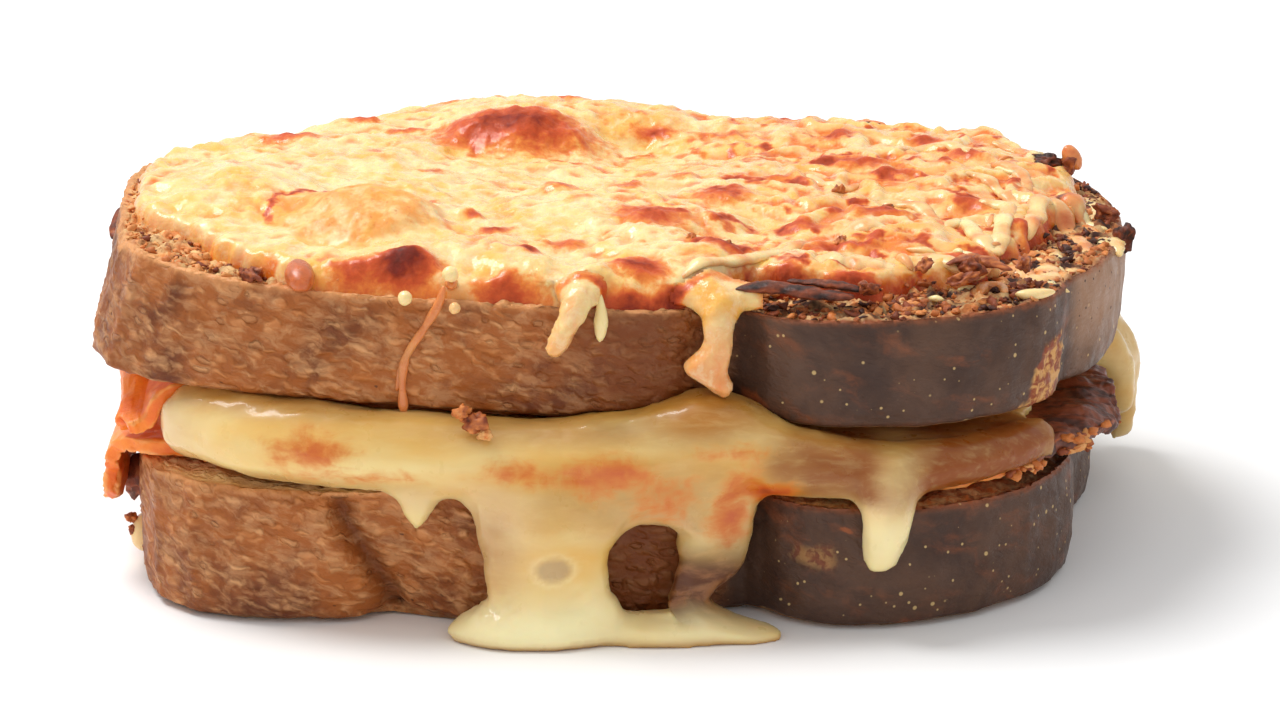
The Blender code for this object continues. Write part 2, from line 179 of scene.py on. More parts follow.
class Wiring:
    def __init__(self, tree):
        self.tree = tree

    def add(self, kind, **values):
        node = self.tree.nodes.new(kind)
        for key, value in values.items():
            setattr(node, key, value)
        return node

    def link(self, source, target):
        self.tree.links.new(source, target)

    def feed(self, socket, value):
        if isinstance(value, bpy.types.NodeSocket):
            self.tree.links.new(value, socket)
        else:
            socket.default_value = value

    def math(self, operation, first, second=0.0, clamp=False):
        node = self.add("ShaderNodeMath", operation=operation, use_clamp=clamp)
        self.feed(node.inputs[0], first)
        self.feed(node.inputs[1], second)
        return node.outputs[0]

    def times(self, first, second):
        return self.math("MULTIPLY", first, second)

    def plus(self, first, second, clamp=False):
        return self.math("ADD", first, second, clamp)

    def minus(self, first, second):
        return self.math("SUBTRACT", first, second)

    def mix(self, factor, first, second):
        node = self.add("ShaderNodeMix", data_type="RGBA")
        self.feed(node.inputs["Factor"], factor)
        self.feed(node.inputs["A"], first)
        self.feed(node.inputs["B"], second)
        return node.outputs["Result"]

    def spread(self, value, low, high, toLow=0.0, toHigh=1.0):
        node = self.add("ShaderNodeMapRange", interpolation_type="SMOOTHSTEP")
        self.feed(node.inputs["Value"], value)
        self.feed(node.inputs["From Min"], low)
        self.feed(node.inputs["From Max"], high)
        self.feed(node.inputs["To Min"], toLow)
        self.feed(node.inputs["To Max"], toHigh)
        return node.outputs["Result"]

    def field(self, name, output="Fac"):
        return self.add("ShaderNodeAttribute", attribute_name=name).outputs[output]

    def noise(self, vector, scale, detail=3.0, roughness=0.5, distortion=0.0):
        node = self.add("ShaderNodeTexNoise")
        self.feed(node.inputs["Vector"], vector)
        self.feed(node.inputs["Scale"], scale)
        node.inputs["Detail"].default_value = detail
        node.inputs["Roughness"].default_value = roughness
        node.inputs["Distortion"].default_value = distortion
        return node.outputs["Fac"]

    def gloss(self, vector, scale, low, high, detail=3.0):
        # an uneven roughness between two values
        return self.spread(self.noise(vector, scale, detail), 0.3, 0.7, low, high)

    def scaled(self, vector, scale):
        node = self.add("ShaderNodeMapping")
        self.feed(node.inputs["Vector"], vector)
        node.inputs["Scale"].default_value = scale
        return node.outputs["Vector"]

    def bent(self, vector, spot, scale, reach):
        # the vector pushed about by a noise that is read at the spot
        drift = self.add("ShaderNodeTexNoise")
        self.feed(drift.inputs["Vector"], spot)
        self.feed(drift.inputs["Scale"], scale)
        node = self.add("ShaderNodeVectorMath", operation="MULTIPLY_ADD")
        self.feed(node.inputs[0], drift.outputs["Color"])
        self.feed(node.inputs[1], reach)
        self.feed(node.inputs[2], vector)
        return node.outputs["Vector"]

    def ramp(self, value, stops):
        node = self.add("ShaderNodeValToRGB")
        self.feed(node.inputs["Fac"], value)
        band = node.color_ramp
        while len(band.elements) < len(stops):
            band.elements.new(0.5)
        for element, (place, colour) in zip(band.elements, stops):
            element.position = place
            element.color = colour
        return node.outputs["Color"]

    def place(self, group, **values):
        node = self.add("ShaderNodeGroup")
        node.node_tree = group
        for key, value in values.items():
            self.feed(node.inputs[key], value)
        return node.outputs[0]

    def dots(self, vector, scale, size, share):
        return self.place(spots, Vector=vector, Scale=scale, Size=size, Share=share)

    def crests(self, vector, scale, wander):
        return self.place(blisters, Vector=vector, Scale=scale, Wander=wander)

    def patches(self, vector, scale, low, high):
        return self.place(mottle, Vector=vector, Scale=scale, Low=low, High=high)

    def torn(self, vector, scale, mask, raggedness):
        return self.place(ragged, Vector=vector, Scale=scale, Mask=mask, Raggedness=raggedness)

    def grains(self, vector, coarse, fine, balance):
        return self.place(grain, Vector=vector, Coarse=coarse, Fine=fine, Balance=balance)


def makeGroup(name, output, **values):
    # a node group that takes a Vector and the named values and gives one number
    group = bpy.data.node_groups.new(name, "ShaderNodeTree")
    group.interface.new_socket("Vector", in_out="INPUT", socket_type="NodeSocketVector")
    for label, value in values.items():
        socket = group.interface.new_socket(label, in_out="INPUT", socket_type="NodeSocketFloat")
        socket.default_value = value
    group.interface.new_socket(output, in_out="OUTPUT", socket_type="NodeSocketFloat")
    wiring = Wiring(group)
    given, out = wiring.add("NodeGroupInput"), wiring.add("NodeGroupOutput")
    return group, wiring, given.outputs, out.inputs[output]


def makeSpots():
    # round spots of uneven size scattered over the surface: 1 inside a spot
    group, w, given, out = makeGroup("scattered spots", "Mask", Scale=800.0, Size=0.3, Share=0.5)
    cell = w.add("ShaderNodeTexVoronoi")
    w.link(given["Vector"], cell.inputs["Vector"])
    w.link(given["Scale"], cell.inputs["Scale"])
    parts = w.add("ShaderNodeSeparateColor")
    w.link(cell.outputs["Color"], parts.inputs["Color"])
    reach = w.times(given["Size"], w.plus(parts.outputs["Green"], 0.3))
    inner = w.times(reach, 0.55)
    near = w.spread(cell.outputs["Distance"], inner, reach, 1.0, 0.0)
    chosen = w.math("LESS_THAN", parts.outputs["Red"], given["Share"])
    w.link(w.times(near, chosen), out)
    return group


def makeBlisters():
    # long soft blisters packed side by side: 1 on each crest, 0 in the valleys
    group, w, given, out = makeGroup("blisters", "Height", Scale=600.0, Wander=0.5)
    vector, scale = given["Vector"], given["Scale"]
    reach = w.math("DIVIDE", given["Wander"], w.times(scale, 0.3))
    cell = w.add("ShaderNodeTexVoronoi", feature="SMOOTH_F1")
    cell.inputs["Smoothness"].default_value = 0.35
    w.link(w.bent(vector, vector, w.times(scale, 0.45), reach), cell.inputs["Vector"])
    w.link(scale, cell.inputs["Scale"])
    w.link(w.spread(cell.outputs["Distance"], 0.12, 0.62, 1.0, 0.0), out)
    return group


def makeMottle():
    # broad uneven patches with a chosen contrast, 0 to 1
    group, w, given, out = makeGroup("mottle", "Factor", Scale=100.0, Low=0.4, High=0.6)
    broad = w.noise(given["Vector"], given["Scale"], 5.0, 0.62, 0.4)
    w.link(w.spread(broad, given["Low"], given["High"]), out)
    return group


def makeRagged():
    # a smooth mask with its edge broken up by noise
    group, w, given, out = makeGroup("ragged edge", "Mask", Scale=400.0, Mask=0.0, Raggedness=0.5)
    broken = w.noise(given["Vector"], given["Scale"], 6.0, 0.6, 0.6)
    shift = w.times(w.minus(broken, 0.5), given["Raggedness"])
    shift = w.times(shift, w.spread(given["Mask"], 0.0, 0.15))
    w.link(w.plus(given["Mask"], shift, clamp=True), out)
    return group


def makeGrain():
    # relief of two sizes for a Bump node
    group, w, given, out = makeGroup("grain", "Height", Coarse=400.0, Fine=1500.0, Balance=0.5)
    coarse = w.noise(given["Vector"], given["Coarse"], 3.0, 0.55)
    fine = w.noise(given["Vector"], given["Fine"], 3.0, 0.6)
    keep = w.minus(1.0, given["Balance"])
    both = w.plus(w.times(coarse, keep), w.times(fine, given["Balance"]))
    w.link(both, out)
    return group


spots, blisters, mottle, ragged, grain = makeSpots(), makeBlisters(), makeMottle(), makeRagged(), makeGrain()


def startMaterial(name, **values):
    finish = bpy.data.materials.new(name)
    finish.use_nodes = True
    w = Wiring(finish.node_tree)
    shader = finish.node_tree.nodes["Principled BSDF"]
    for key, value in values.items():
        shader.inputs[key].default_value = value
    spot = w.add("ShaderNodeTexCoord").outputs["Object"]
    return finish, w, shader, spot


def addBump(w, shader, height, strength, distance):
    bump = w.add("ShaderNodeBump")
    bump.inputs["Strength"].default_value = strength
    bump.inputs["Distance"].default_value = distance
    w.link(height, bump.inputs["Height"])
    w.link(bump.outputs["Normal"], shader.inputs["Normal"])


# finishes

crustLook = {
    "tinDark": shade(102, 48, 18), "tin": shade(184, 104, 42), "tinPale": shade(228, 170, 116),
    "crownDark": shade(66, 45, 36), "crown": shade(94, 66, 50), "crownSheenColour": shade(176, 134, 104),
    "speck": shade(226, 192, 130), "ember": shade(178, 96, 52), "crumb": shade(222, 132, 66),
    "crumbPale": shade(248, 202, 140), "crumbDark": shade(142, 66, 32), "char": shade(58, 28, 18),
    "rim": shade(236, 168, 108), "torn": shade(210, 156, 92),
}


def makeCrust(name):
    look = crustLook
    finish, w, shader, spot = startMaterial(name, **{
        "Subsurface Weight": 0.06, "Subsurface Radius": (1.0, 0.5, 0.25), "Subsurface Scale": 0.002,
        "Specular IOR Level": 0.28})
    wrap = w.field("wrap", "Vector")
    crown, crumb, scorch, lip = w.field("crown"), w.field("crumb"), w.field("scorch"), w.field("lip")
    tan, paintedShade, pale = w.field("tan"), w.field("paintedShade"), w.field("pale")
    # the tin side: long pale blisters on a mottled brown skin
    long = w.add("ShaderNodeMapping", vector_type="TEXTURE")
    w.link(w.bent(wrap, spot, 450.0, (0.0026, 0.0013, 0.0013)), long.inputs["Vector"])
    long.inputs["Rotation"].default_value = (0.0, 0.3, 0.0)
    long.inputs["Scale"].default_value = (2.1, 1.0, 1.0)
    long = long.outputs["Vector"]
    patch = w.patches(spot, 75.0, 0.28, 0.56)
    crests = w.crests(long, 760.0, 0.6)
    streak = w.patches(long, 300.0, 0.3, 0.6)
    shadow = w.patches(long, 240.0, 0.5, 0.7)
    rings = w.dots(long, 560.0, 0.56, 0.5)
    pocks = w.dots(long, 560.0, 0.42, 0.5)
    tin = w.mix(patch, look["tinDark"], look["tin"])
    flecks = w.patches(long, 620.0, 0.44, 0.68)
    tin = w.mix(w.times(shadow, 0.45), tin, look["tinDark"])
    tin = w.mix(w.times(flecks, 0.58), tin, look["tinPale"])
    # paler on the blister crests and darker in the valleys between them: partly the crust's own colour,
    # partly painted highlight and shade
    tin = w.mix(w.times(w.times(crests, streak), 0.42), tin, look["tinPale"])
    tin = w.mix(w.times(w.minus(1.0, crests), 0.3), tin, look["tinDark"])
    tin = w.mix(w.times(rings, 0.16), tin, look["tinDark"])
    tin = w.mix(w.times(pocks, 0.26), tin, look["tinPale"])
    pinholes = w.dots(long, 420.0, 0.13, 0.5)
    tin = w.mix(w.times(pinholes, 0.7), tin, look["char"])
    # painted shade: the tin side darkened at the waist and in the fold
    tin = w.mix(w.times(paintedShade, 0.75), tin, look["tinDark"])
    # the crown side: smooth and dark, with pale specks and a few orange spots
    small = w.dots(wrap, 440.0, 0.13, 0.65)
    dust = w.dots(wrap, 900.0, 0.18, 0.35)
    large = w.dots(long, 150.0, 0.2, 0.4)
    dusk = w.patches(wrap, 90.0, 0.3, 0.7)
    dark = w.mix(dusk, look["crownDark"], look["crown"])
    stain = w.patches(long, 260.0, 0.5, 0.8)
    dark = w.mix(w.times(stain, 0.35), dark, look["ember"])
    dark = w.mix(w.times(large, 0.55), dark, look["ember"])
    dark = w.mix(w.times(w.math("MAXIMUM", small, dust), 0.65), dark, look["speck"])
    # painted sheen where the light falls on the top slice's right wall, with dark dots in it
    paintedSheen = w.torn(long, 260.0, pale, 0.7)
    dark = w.mix(w.times(paintedSheen, 0.75), dark, look["crownSheenColour"])
    dots = w.times(paintedSheen, w.dots(spot, 900.0, 0.22, 0.5))
    dark = w.mix(dots, dark, look["char"])
    side = w.spread(w.torn(spot, 120.0, crown, 0.5), 0.25, 0.7)
    skin = w.mix(side, tin, dark)
    flakes = w.patches(spot, 600.0, 0.42, 0.58)
    flakes = w.mix(flakes, look["crumbDark"], look["torn"])
    skin = w.mix(tan, skin, flakes)
    # the torn lip along the edges and the open crumb
    edge = w.mix(side, look["rim"], look["ember"])
    skin = w.mix(w.torn(spot, 700.0, lip, 0.9), skin, edge)
    holes = w.patches(spot, 520.0, 0.36, 0.62)
    pits = w.patches(spot, 760.0, 0.52, 0.66)
    torn = w.mix(holes, look["crumb"], look["crumbPale"])
    torn = w.mix(w.times(pits, 0.7), torn, look["crumbDark"])
    # painted light: the crumb made paler where the pale field is set
    torn = w.mix(w.times(pale, 0.8), torn, look["crumbPale"])
    skin = w.mix(w.torn(spot, 600.0, crumb, 0.5), skin, torn)
    burn = w.torn(spot, 450.0, scorch, 0.8)
    w.link(w.mix(burn, skin, look["char"]), shader.inputs["Base Color"])
    rough = w.gloss(spot, 300.0, 0.4, 0.62, detail=4.0)
    w.link(w.plus(rough, w.times(crumb, 0.2)), shader.inputs["Roughness"])
    relief = w.grains(long, 620.0, 2200.0, 0.35)
    soft = w.minus(0.6, w.times(side, 0.5))
    folds = w.plus(crests, w.minus(pocks, rings))
    raised = w.plus(w.times(relief, 0.9), w.times(folds, soft))
    addBump(w, shader, raised, 0.75, 0.0007)
    return finish


cheeseLook = {
    "milk": shade(246, 232, 186), "cream": shade(240, 216, 154), "butter": shade(240, 188, 92),
    "honey": shade(232, 152, 66), "peach": shade(238, 166, 82), "amber": shade(230, 116, 30),
    "golden": shade(232, 134, 44), "rust": shade(200, 80, 26), "burnt": shade(130, 36, 14),
    "ash": shade(70, 24, 12),
}


def makeGratin():
    look = cheeseLook
    finish, w, shader, spot = startMaterial("grilled cheese", **{
        "Subsurface Weight": 0.4, "Subsurface Radius": (1.0, 0.55, 0.22), "Subsurface Scale": 0.002,
        "IOR": 1.46, "Coat Roughness": 0.08, "Specular IOR Level": 0.3})
    toast, hollowGlow, warm, dome = w.field("toast"), w.field("hollowGlow"), w.field("warm"), w.field("dome")
    patch = w.spread(w.noise(spot, 150.0, 3.0, 0.5, 0.6), 0.4, 0.68)
    base = w.mix(patch, look["cream"], look["butter"])
    tinge = w.torn(spot, 200.0, warm, 2.2)
    base = w.mix(w.times(tinge, 0.9), base, look["peach"])
    # painted glow: amber where light would shine through the cheese, in hollows, along its edge and low on
    # the drips
    glow = w.torn(spot, 420.0, hollowGlow, 0.9)
    base = w.mix(glow, base, look["amber"])
    threads = w.patches(spot, 420.0, 0.52, 0.66)
    base = w.mix(w.times(threads, 0.4), base, look["milk"])
    thick = w.patches(spot, 330.0, 0.34, 0.66)
    base = w.mix(w.times(dome, w.spread(thick, 0.0, 1.0, 0.9, 0.34)), base, look["honey"])
    pores = w.patches(spot, 900.0, 0.55, 0.7)
    base = w.mix(w.times(w.times(pores, dome), 0.42), base, look["rust"])
    rough = w.torn(spot, 900.0, toast, 0.3)
    done = w.torn(spot, 330.0, rough, 0.55)
    browned = w.ramp(done, [
        (0.0, look["butter"]), (0.24, look["golden"]), (0.46, look["rust"]), (0.76, look["burnt"]),
        (1.0, look["ash"])])
    cover = w.spread(done, 0.06, 0.34)
    w.link(w.mix(cover, base, browned), shader.inputs["Base Color"])
    dull = w.math("MAXIMUM", w.spread(done, 0.2, 0.7), w.times(dome, 0.6))
    gloss = w.gloss(spot, 600.0, 0.2, 0.36)
    w.link(w.plus(gloss, w.times(dull, 0.4)), shader.inputs["Roughness"])
    w.link(w.spread(dull, 0.0, 1.0, 0.4, 0.04), shader.inputs["Coat Weight"])
    wrinkles = w.crests(spot, 480.0, 0.9)
    relief = w.grains(spot, 380.0, 1300.0, 0.16)
    addBump(w, shader, w.plus(relief, w.times(wrinkles, 0.2)), 0.5, 0.0008)
    return finish


meltLook = {
    "milk": shade(238, 214, 146), "butter": shade(232, 182, 88), "oliveShade": shade(178, 116, 34),
    "pink": shade(222, 190, 150), "amber": shade(142, 72, 14), "brown": shade(104, 42, 16),
    "golden": shade(220, 132, 40), "rust": shade(200, 84, 22), "film": shade(98, 54, 28),
    "filmPale": shade(152, 102, 64), "grey": shade(170, 142, 112), "white": shade(252, 242, 192),
}


def makeMelt():
    look = meltLook
    finish, w, shader, spot = startMaterial("melted cheese", **{
        "Subsurface Weight": 0.3, "Subsurface Radius": (1.0, 0.6, 0.25), "Subsurface Scale": 0.002,
        "IOR": 1.46, "Coat Roughness": 0.1, "Specular IOR Level": 0.4})
    toast, recessShade, deep, paleAndHighlight = w.field("toast"), w.field("recessShade"), w.field("deep"), w.field("paleAndHighlight")
    veil, film, bubble = w.field("veil"), w.field("film"), w.field("bubble")
    long = w.scaled(spot, (0.3, 1.0, 1.0))
    streak = w.spread(w.noise(long, 130.0, 2.0), 0.3, 0.75)
    threads = w.patches(long, 900.0, 0.45, 0.75)
    base = w.mix(streak, look["milk"], look["butter"])
    # paler cheese and painted highlights, mixed towards white
    base = w.mix(w.times(paleAndHighlight, 0.85), base, look["white"])
    base = w.mix(w.torn(long, 180.0, veil, 0.5), base, look["pink"])
    # painted shade in olive where the deep field is set
    base = w.mix(w.torn(long, 200.0, deep, 0.5), base, look["oliveShade"])
    # painted shade in amber on the recessed band and the slit
    base = w.mix(w.torn(long, 260.0, recessShade, 0.5), base, look["amber"])
    base = w.mix(w.times(threads, 0.16), base, look["milk"])
    rough = w.torn(long, 900.0, toast, 0.3)
    done = w.torn(spot, 300.0, rough, 0.45)
    browned = w.ramp(done, [
        (0.0, look["butter"]), (0.25, look["golden"]), (0.55, look["rust"]), (1.0, look["brown"])])
    base = w.mix(w.spread(done, 0.04, 0.4), base, browned)
    # the bubble painted grey, for the shade seen through its thin skin
    base = w.mix(bubble, base, look["grey"])
    # the film is painted with the shaded crust that would show through it
    through = w.mix(w.patches(long, 420.0, 0.4, 0.66), look["film"], look["filmPale"])
    w.link(w.mix(film, base, through), shader.inputs["Base Color"])
    w.link(w.spread(w.math("MAXIMUM", film, recessShade), 0.0, 1.0, 0.45, 0.08), shader.inputs["Coat Weight"])
    w.link(w.gloss(spot, 350.0, 0.26, 0.46), shader.inputs["Roughness"])
    addBump(w, shader, w.grains(long, 260.0, 1100.0, 0.2), 0.22, 0.0006)
    return finish


hamLook = {
    "orange": shade(250, 142, 38), "red": shade(232, 98, 22), "pale": shade(248, 170, 96),
    "brown": shade(134, 66, 38), "dark": shade(70, 36, 26), "fringe": shade(214, 116, 62),
}


def makeHam():
    look = hamLook
    finish, w, shader, spot = startMaterial("ham", **{
        "Subsurface Weight": 0.2, "Subsurface Radius": (1.0, 0.4, 0.2), "Subsurface Scale": 0.002,
        "Coat Weight": 0.15, "Coat Roughness": 0.25, "Specular IOR Level": 0.35})
    edge, dry = w.field("edge"), w.field("dry")
    patch = w.patches(spot, 150.0, 0.3, 0.75)
    meat = w.mix(patch, look["orange"], look["red"])
    dots = w.dots(spot, 900.0, 0.3, 0.25)
    meat = w.mix(w.times(dots, 0.6), meat, look["red"])
    long = w.scaled(spot, (0.4, 1.0, 0.4))
    fibre = w.patches(long, 620.0, 0.38, 0.62)
    roast = w.mix(fibre, look["dark"], look["brown"])
    rim = w.mix(dry, look["pale"], look["fringe"])
    meat = w.mix(w.torn(spot, 300.0, dry, 0.4), meat, roast)
    meat = w.mix(w.torn(spot, 500.0, edge, 0.6), meat, rim)
    w.link(meat, shader.inputs["Base Color"])
    w.link(w.gloss(spot, 400.0, 0.32, 0.5), shader.inputs["Roughness"])
    addBump(w, shader, w.grains(long, 800.0, 2000.0, 0.4), 0.5, 0.0005)
    return finish


crumbLook = {
    "name": "toasted crumbs", "patch": 900.0, "raggedness": 0.35, "gloss": (900.0, 0.35, 0.65),
    "grain": (1400.0, 3200.0, 0.4), "bump": 0.6,
    "shader": {"Subsurface Weight": 0.08, "Subsurface Radius": (1.0, 0.5, 0.25),
               "Subsurface Scale": 0.001, "Specular IOR Level": 0.35},
    "tones": [(0.0, shade(236, 178, 112)), (0.3, shade(214, 126, 62)), (0.6, shade(140, 66, 34)),
              (0.85, shade(70, 36, 26)), (1.0, shade(40, 24, 20))],
}
shredLook = {
    "name": "cheese shreds", "patch": 420.0, "raggedness": 0.4, "gloss": (700.0, 0.25, 0.42),
    "grain": (900.0, 2400.0, 0.4), "bump": 0.35,
    "shader": {"Subsurface Weight": 0.35, "Subsurface Radius": (1.0, 0.6, 0.25),
               "Subsurface Scale": 0.0014, "IOR": 1.46, "Coat Weight": 0.3, "Coat Roughness": 0.15},
    "tones": [(0.0, shade(246, 222, 160)), (0.25, shade(242, 200, 136)), (0.5, shade(232, 154, 88)),
              (0.75, shade(200, 100, 42)), (1.0, shade(110, 58, 40))],
}


def makeToned(look):
    # a finish that runs through a row of colours as the tone of each bit rises
    finish, w, shader, spot = startMaterial(look["name"], **look["shader"])
    tone = w.torn(spot, look["patch"], w.field("tone"), look["raggedness"])
    w.link(w.ramp(tone, look["tones"]), shader.inputs["Base Color"])
    w.link(w.gloss(spot, *look["gloss"]), shader.inputs["Roughness"])
    addBump(w, shader, w.grains(spot, *look["grain"]), look["bump"], 0.0004)
    return finish


crustTopSkin = makeCrust("top crust")
crustBottomSkin = makeCrust("bottom crust")
gratinSkin = makeGratin()
meltSkin = makeMelt()
hamSkin = makeHam()
crumbSkin = makeToned(crumbLook)
shredSkin = makeToned(shredLook)
print("finishes made")


# the two slices of bread: a fine net wrapped round each CAD slice

breadBottom = {
    "name": "sliceBottom", "node": "bread_bottom", "middleHeight": 10.0, "step": 0.45, "openRim": 9.0,
    "lumps": 0.32, "blisters": 0.26, "crumble": 0.5, "seed": 3.0,
    # the fold where the left lobe laps over its neighbour: height, x
    "fold": [(0, -34), (4, -34.6), (8, -36.5), (14, -39.8), (20, -41.8)],
}
breadTop = {
    "name": "sliceTop", "node": "bread_top", "middleHeight": 39.0, "step": 0.45, "openRim": 13.0,
    "lumps": 0.32, "blisters": 0.26, "crumble": 1.1, "seed": 8.0,
}


def closedSmooth(values, rounds):
    for _ in range(rounds):
        values = (np.roll(values, 1) + values * 2 + np.roll(values, -1)) / 4
    return values


class Wrap:
    # a closed net of rows that each go once round a slice
    def __init__(self, look):
        self.look = look
        self.tree = nodeTree(look["node"])
        low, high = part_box(look["node"])
        self.middle = (Vector(low) + Vector(high)) / 2 / mm
        self.measure()
        self.lay()

    def wallAt(self, angle, height):
        out = Vector((math.cos(angle), math.sin(angle), 0))
        axis = Vector((self.middle.x, self.middle.y, height))
        hit = self.tree.ray_cast((axis + out * 150) * mm, -out)[0]
        return (hit - axis * mm).length / mm if hit else None

    def across(self, x, y, height, step):
        hit = self.tree.ray_cast(Vector((x, y, height)) * mm, Vector((0, 0, step)))[0]
        return hit.z / mm if hit else None

    def measure(self):
        # even steps round the wall at its middle, and the heights of foot and rim just inside it
        angles = np.linspace(0, 2 * math.pi, 3000, endpoint=False)
        reach = np.array([self.wallAt(a, self.look["middleHeight"]) for a in angles])
        ends = np.stack([np.cos(angles) * reach, np.sin(angles) * reach], 1)
        travelled = np.concatenate([[0], np.cumsum(np.linalg.norm(np.roll(ends, -1, 0) - ends, axis=1))])
        self.count = int(travelled[-1] / self.look["step"])
        self.along = np.arange(self.count) * travelled[-1] / self.count
        self.turn = np.interp(self.along, travelled, np.append(angles, 2 * math.pi))
        self.reach = np.interp(self.turn, np.append(angles, 2 * math.pi), np.append(reach, reach[0]))
        foot, rim = [], []
        for a, r in zip(self.turn, self.reach):
            x, y = self.middle.x + math.cos(a) * (r - 3.5), self.middle.y + math.sin(a) * (r - 3.5)
            foot.append(self.across(x, y, -50, 1))
            rim.append(self.across(x, y, 200, -1))
        self.foot, self.rim = closedSmooth(np.array(foot), 6), closedSmooth(np.array(rim), 6)
        # the wall leans, so its reach is taken again near foot and rim
        high = [self.wallAt(a, z - 0.8) or r for a, z, r in zip(self.turn, self.rim, self.reach)]
        low = [self.wallAt(a, z + 0.8) or r for a, z, r in zip(self.turn, self.foot, self.reach)]
        self.rimReach, self.footReach = np.array(high), np.array(low)

    def lay(self):
        step, openRim = self.look["step"], self.look["openRim"]
        walls = int(np.mean(self.rim - self.foot) / step)
        rows = [("under", s) for s in (40, 20, 8, 3, 1.2)]
        rows += [("wall", 0.03 + 0.94 * k / walls) for k in range(walls + 1)]
        rows += [("over", s) for s in np.arange(0.4, openRim, step)]
        rows += [("over", s) for s in (openRim + 3, 24, 34, 44)]
        places, wraps, shares, depths = [], [], [], []
        shareOf = {"under": 0.0, "over": 1.0}
        for kind, value in rows:
            for i in range(self.count):
                a, foot, rim = self.turn[i], self.foot[i], self.rim[i]
                if kind == "wall":
                    height = foot + (rim - foot) * value
                    r = self.wallAt(a, height) or self.reach[i]
                else:
                    r = max((self.rimReach if kind == "over" else self.footReach)[i] - value, 1.0)
                x, y = self.middle.x + math.cos(a) * r, self.middle.y + math.sin(a) * r
                if kind == "under":
                    height = self.across(x, y, -50, 1) or foot
                if kind == "over":
                    height = self.across(x, y, 200, -1) or rim
                depth = 0.0 if kind == "wall" else value
                places.append((x, y, height))
                wraps.append((self.along[i], depth, height))
                shares.append(shareOf.get(kind, value))
                depths.append(depth)
        count, last = self.count, (len(rows) - 1) * self.count
        faces = []
        for row in range(len(rows) - 1):
            a, b = row * count, (row + 1) * count
            for i in range(count):
                j = (i + 1) % count
                faces.append((a + i, a + j, b + j, b + i))
        places = np.array(places)
        below, above = len(places), len(places) + 1
        for i in range(count):
            j = (i + 1) % count
            faces.append((j, i, below))
            faces.append((last + i, last + j, above))
        self.places = np.vstack([places, places[:count].mean(0), places[last:last + count].mean(0)])
        self.wraps = np.vstack([wraps, places[:count].mean(0), places[last:last + count].mean(0)])
        self.shares = np.append(shares, [0.0, 1.0])
        self.depths = np.append(depths, [60.0, 60.0])
        self.faces = faces

    def rimLine(self):
        x = self.middle.x + np.cos(self.turn) * self.rimReach
        y = self.middle.y + np.sin(self.turn) * self.rimReach
        return np.stack([x, y, self.rim], 1)


def makeSlice(wrap, finish, scorchMask, tanPatch, paintedLight):
    # relief: soft lumps, long blisters on the tin side, a torn lip and a crumbly open rim
    look, places, wraps, shares, depths = wrap.look, wrap.places, wrap.wraps, wrap.shares, wrap.depths
    x, y, z = places.T
    piece = makePiece(look["name"], places, wrap.faces, finish)
    mesh = piece.data
    normals = normalsOf(mesh)
    seed = look["seed"]
    crown = ease(x, 2, 21)
    wall = (depths == 0).astype(float)
    over = ((shares == 1.0) & (depths > 0)).astype(float)
    under = ease(depths, 0.5, 2.0) * (shares == 0.0)
    lip = hump(shares, 1.0, 0.045) * np.clip(1 - depths / 1.3, 0, 1)
    push = look["lumps"] * cloud(places, 13, 2, seed) + 0.14 * cloud(places, 4, 2, seed + 1)
    stretched = np.stack([wraps[:, 0] / 2.2, wraps[:, 1], wraps[:, 2] / 1.1], 1)
    blister = np.clip(0.5 - cells(stretched, 1.0, seed), 0, 1) * 2
    blister += 0.7 * cloud(stretched, 1.3, 2, seed + 2)
    push += wall * (1 - crown * 0.9) * look["blisters"] * blister
    push += tanPatch * 0.35 * cloud(places, 1.2, 2, seed + 5)
    crumbly = cloud(places, 1.7, 3, seed + 3)
    push += over * ease(depths, 0.4, 1.4) * (look["crumble"] * crumbly - 0.55)
    push += lip * (0.12 + 0.4 * cloud(places, 1.6, 2, seed + 4) + 0.3 * cloud(places, 0.8, 2, seed + 6))
    fold = np.zeros(len(places))
    if "fold" in look:
        side = x - np.interp(z, *zip(*look["fold"]))
        front = wall * ease(-y, 20, 35) * (1 - 0.7 * ease(shares, 0.85, 1.0))
        fold = hump(side, 0.4, 1.5) * front
        push += front * (0.9 * hump(side, -5, 4) - 0.9 * hump(side, 4, 4.5)) - 1.7 * fold
    movePoints(mesh, places + normals * push[:, None])
    # kept on face corners, so that the last column of the net runs on past the first
    corners = np.array([loop.vertex_index for loop in mesh.loops])
    onCorners = wraps[corners]
    for face in mesh.polygons:
        loops = list(face.loop_indices)
        if np.ptp(onCorners[loops, 0]) > 50:
            onCorners[loops, 0] += (onCorners[loops, 0] < 50) * (wrap.along[-1] + look["step"])
    addVectors(mesh, "wrap", onCorners * mm, "CORNER")
    addField(mesh, "crown", crown)
    addField(mesh, "crumb", np.maximum(over * ease(depths, 0.5, 1.3), under))
    addField(mesh, "scorch", scorchMask)
    addField(mesh, "lip", lip * (1.0 - 0.1 * crown))
    addField(mesh, "tan", tanPatch)
    # painted shade at the waist and in the fold where the left lobe laps over; the wall is also a little
    # darker at its left end
    waist = hump(x, 1, 11) * ease(-y, 0, 30)
    addField(mesh, "paintedShade", np.clip(waist + fold + wall * 0.4 * hump(x, -72, 4), 0, 1))
    # painted light: the sheen on the top slice and the paler crumb on the bottom one
    addField(mesh, "pale", paintedLight)
    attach(piece, "root")
    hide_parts(look["node"])
    return piece


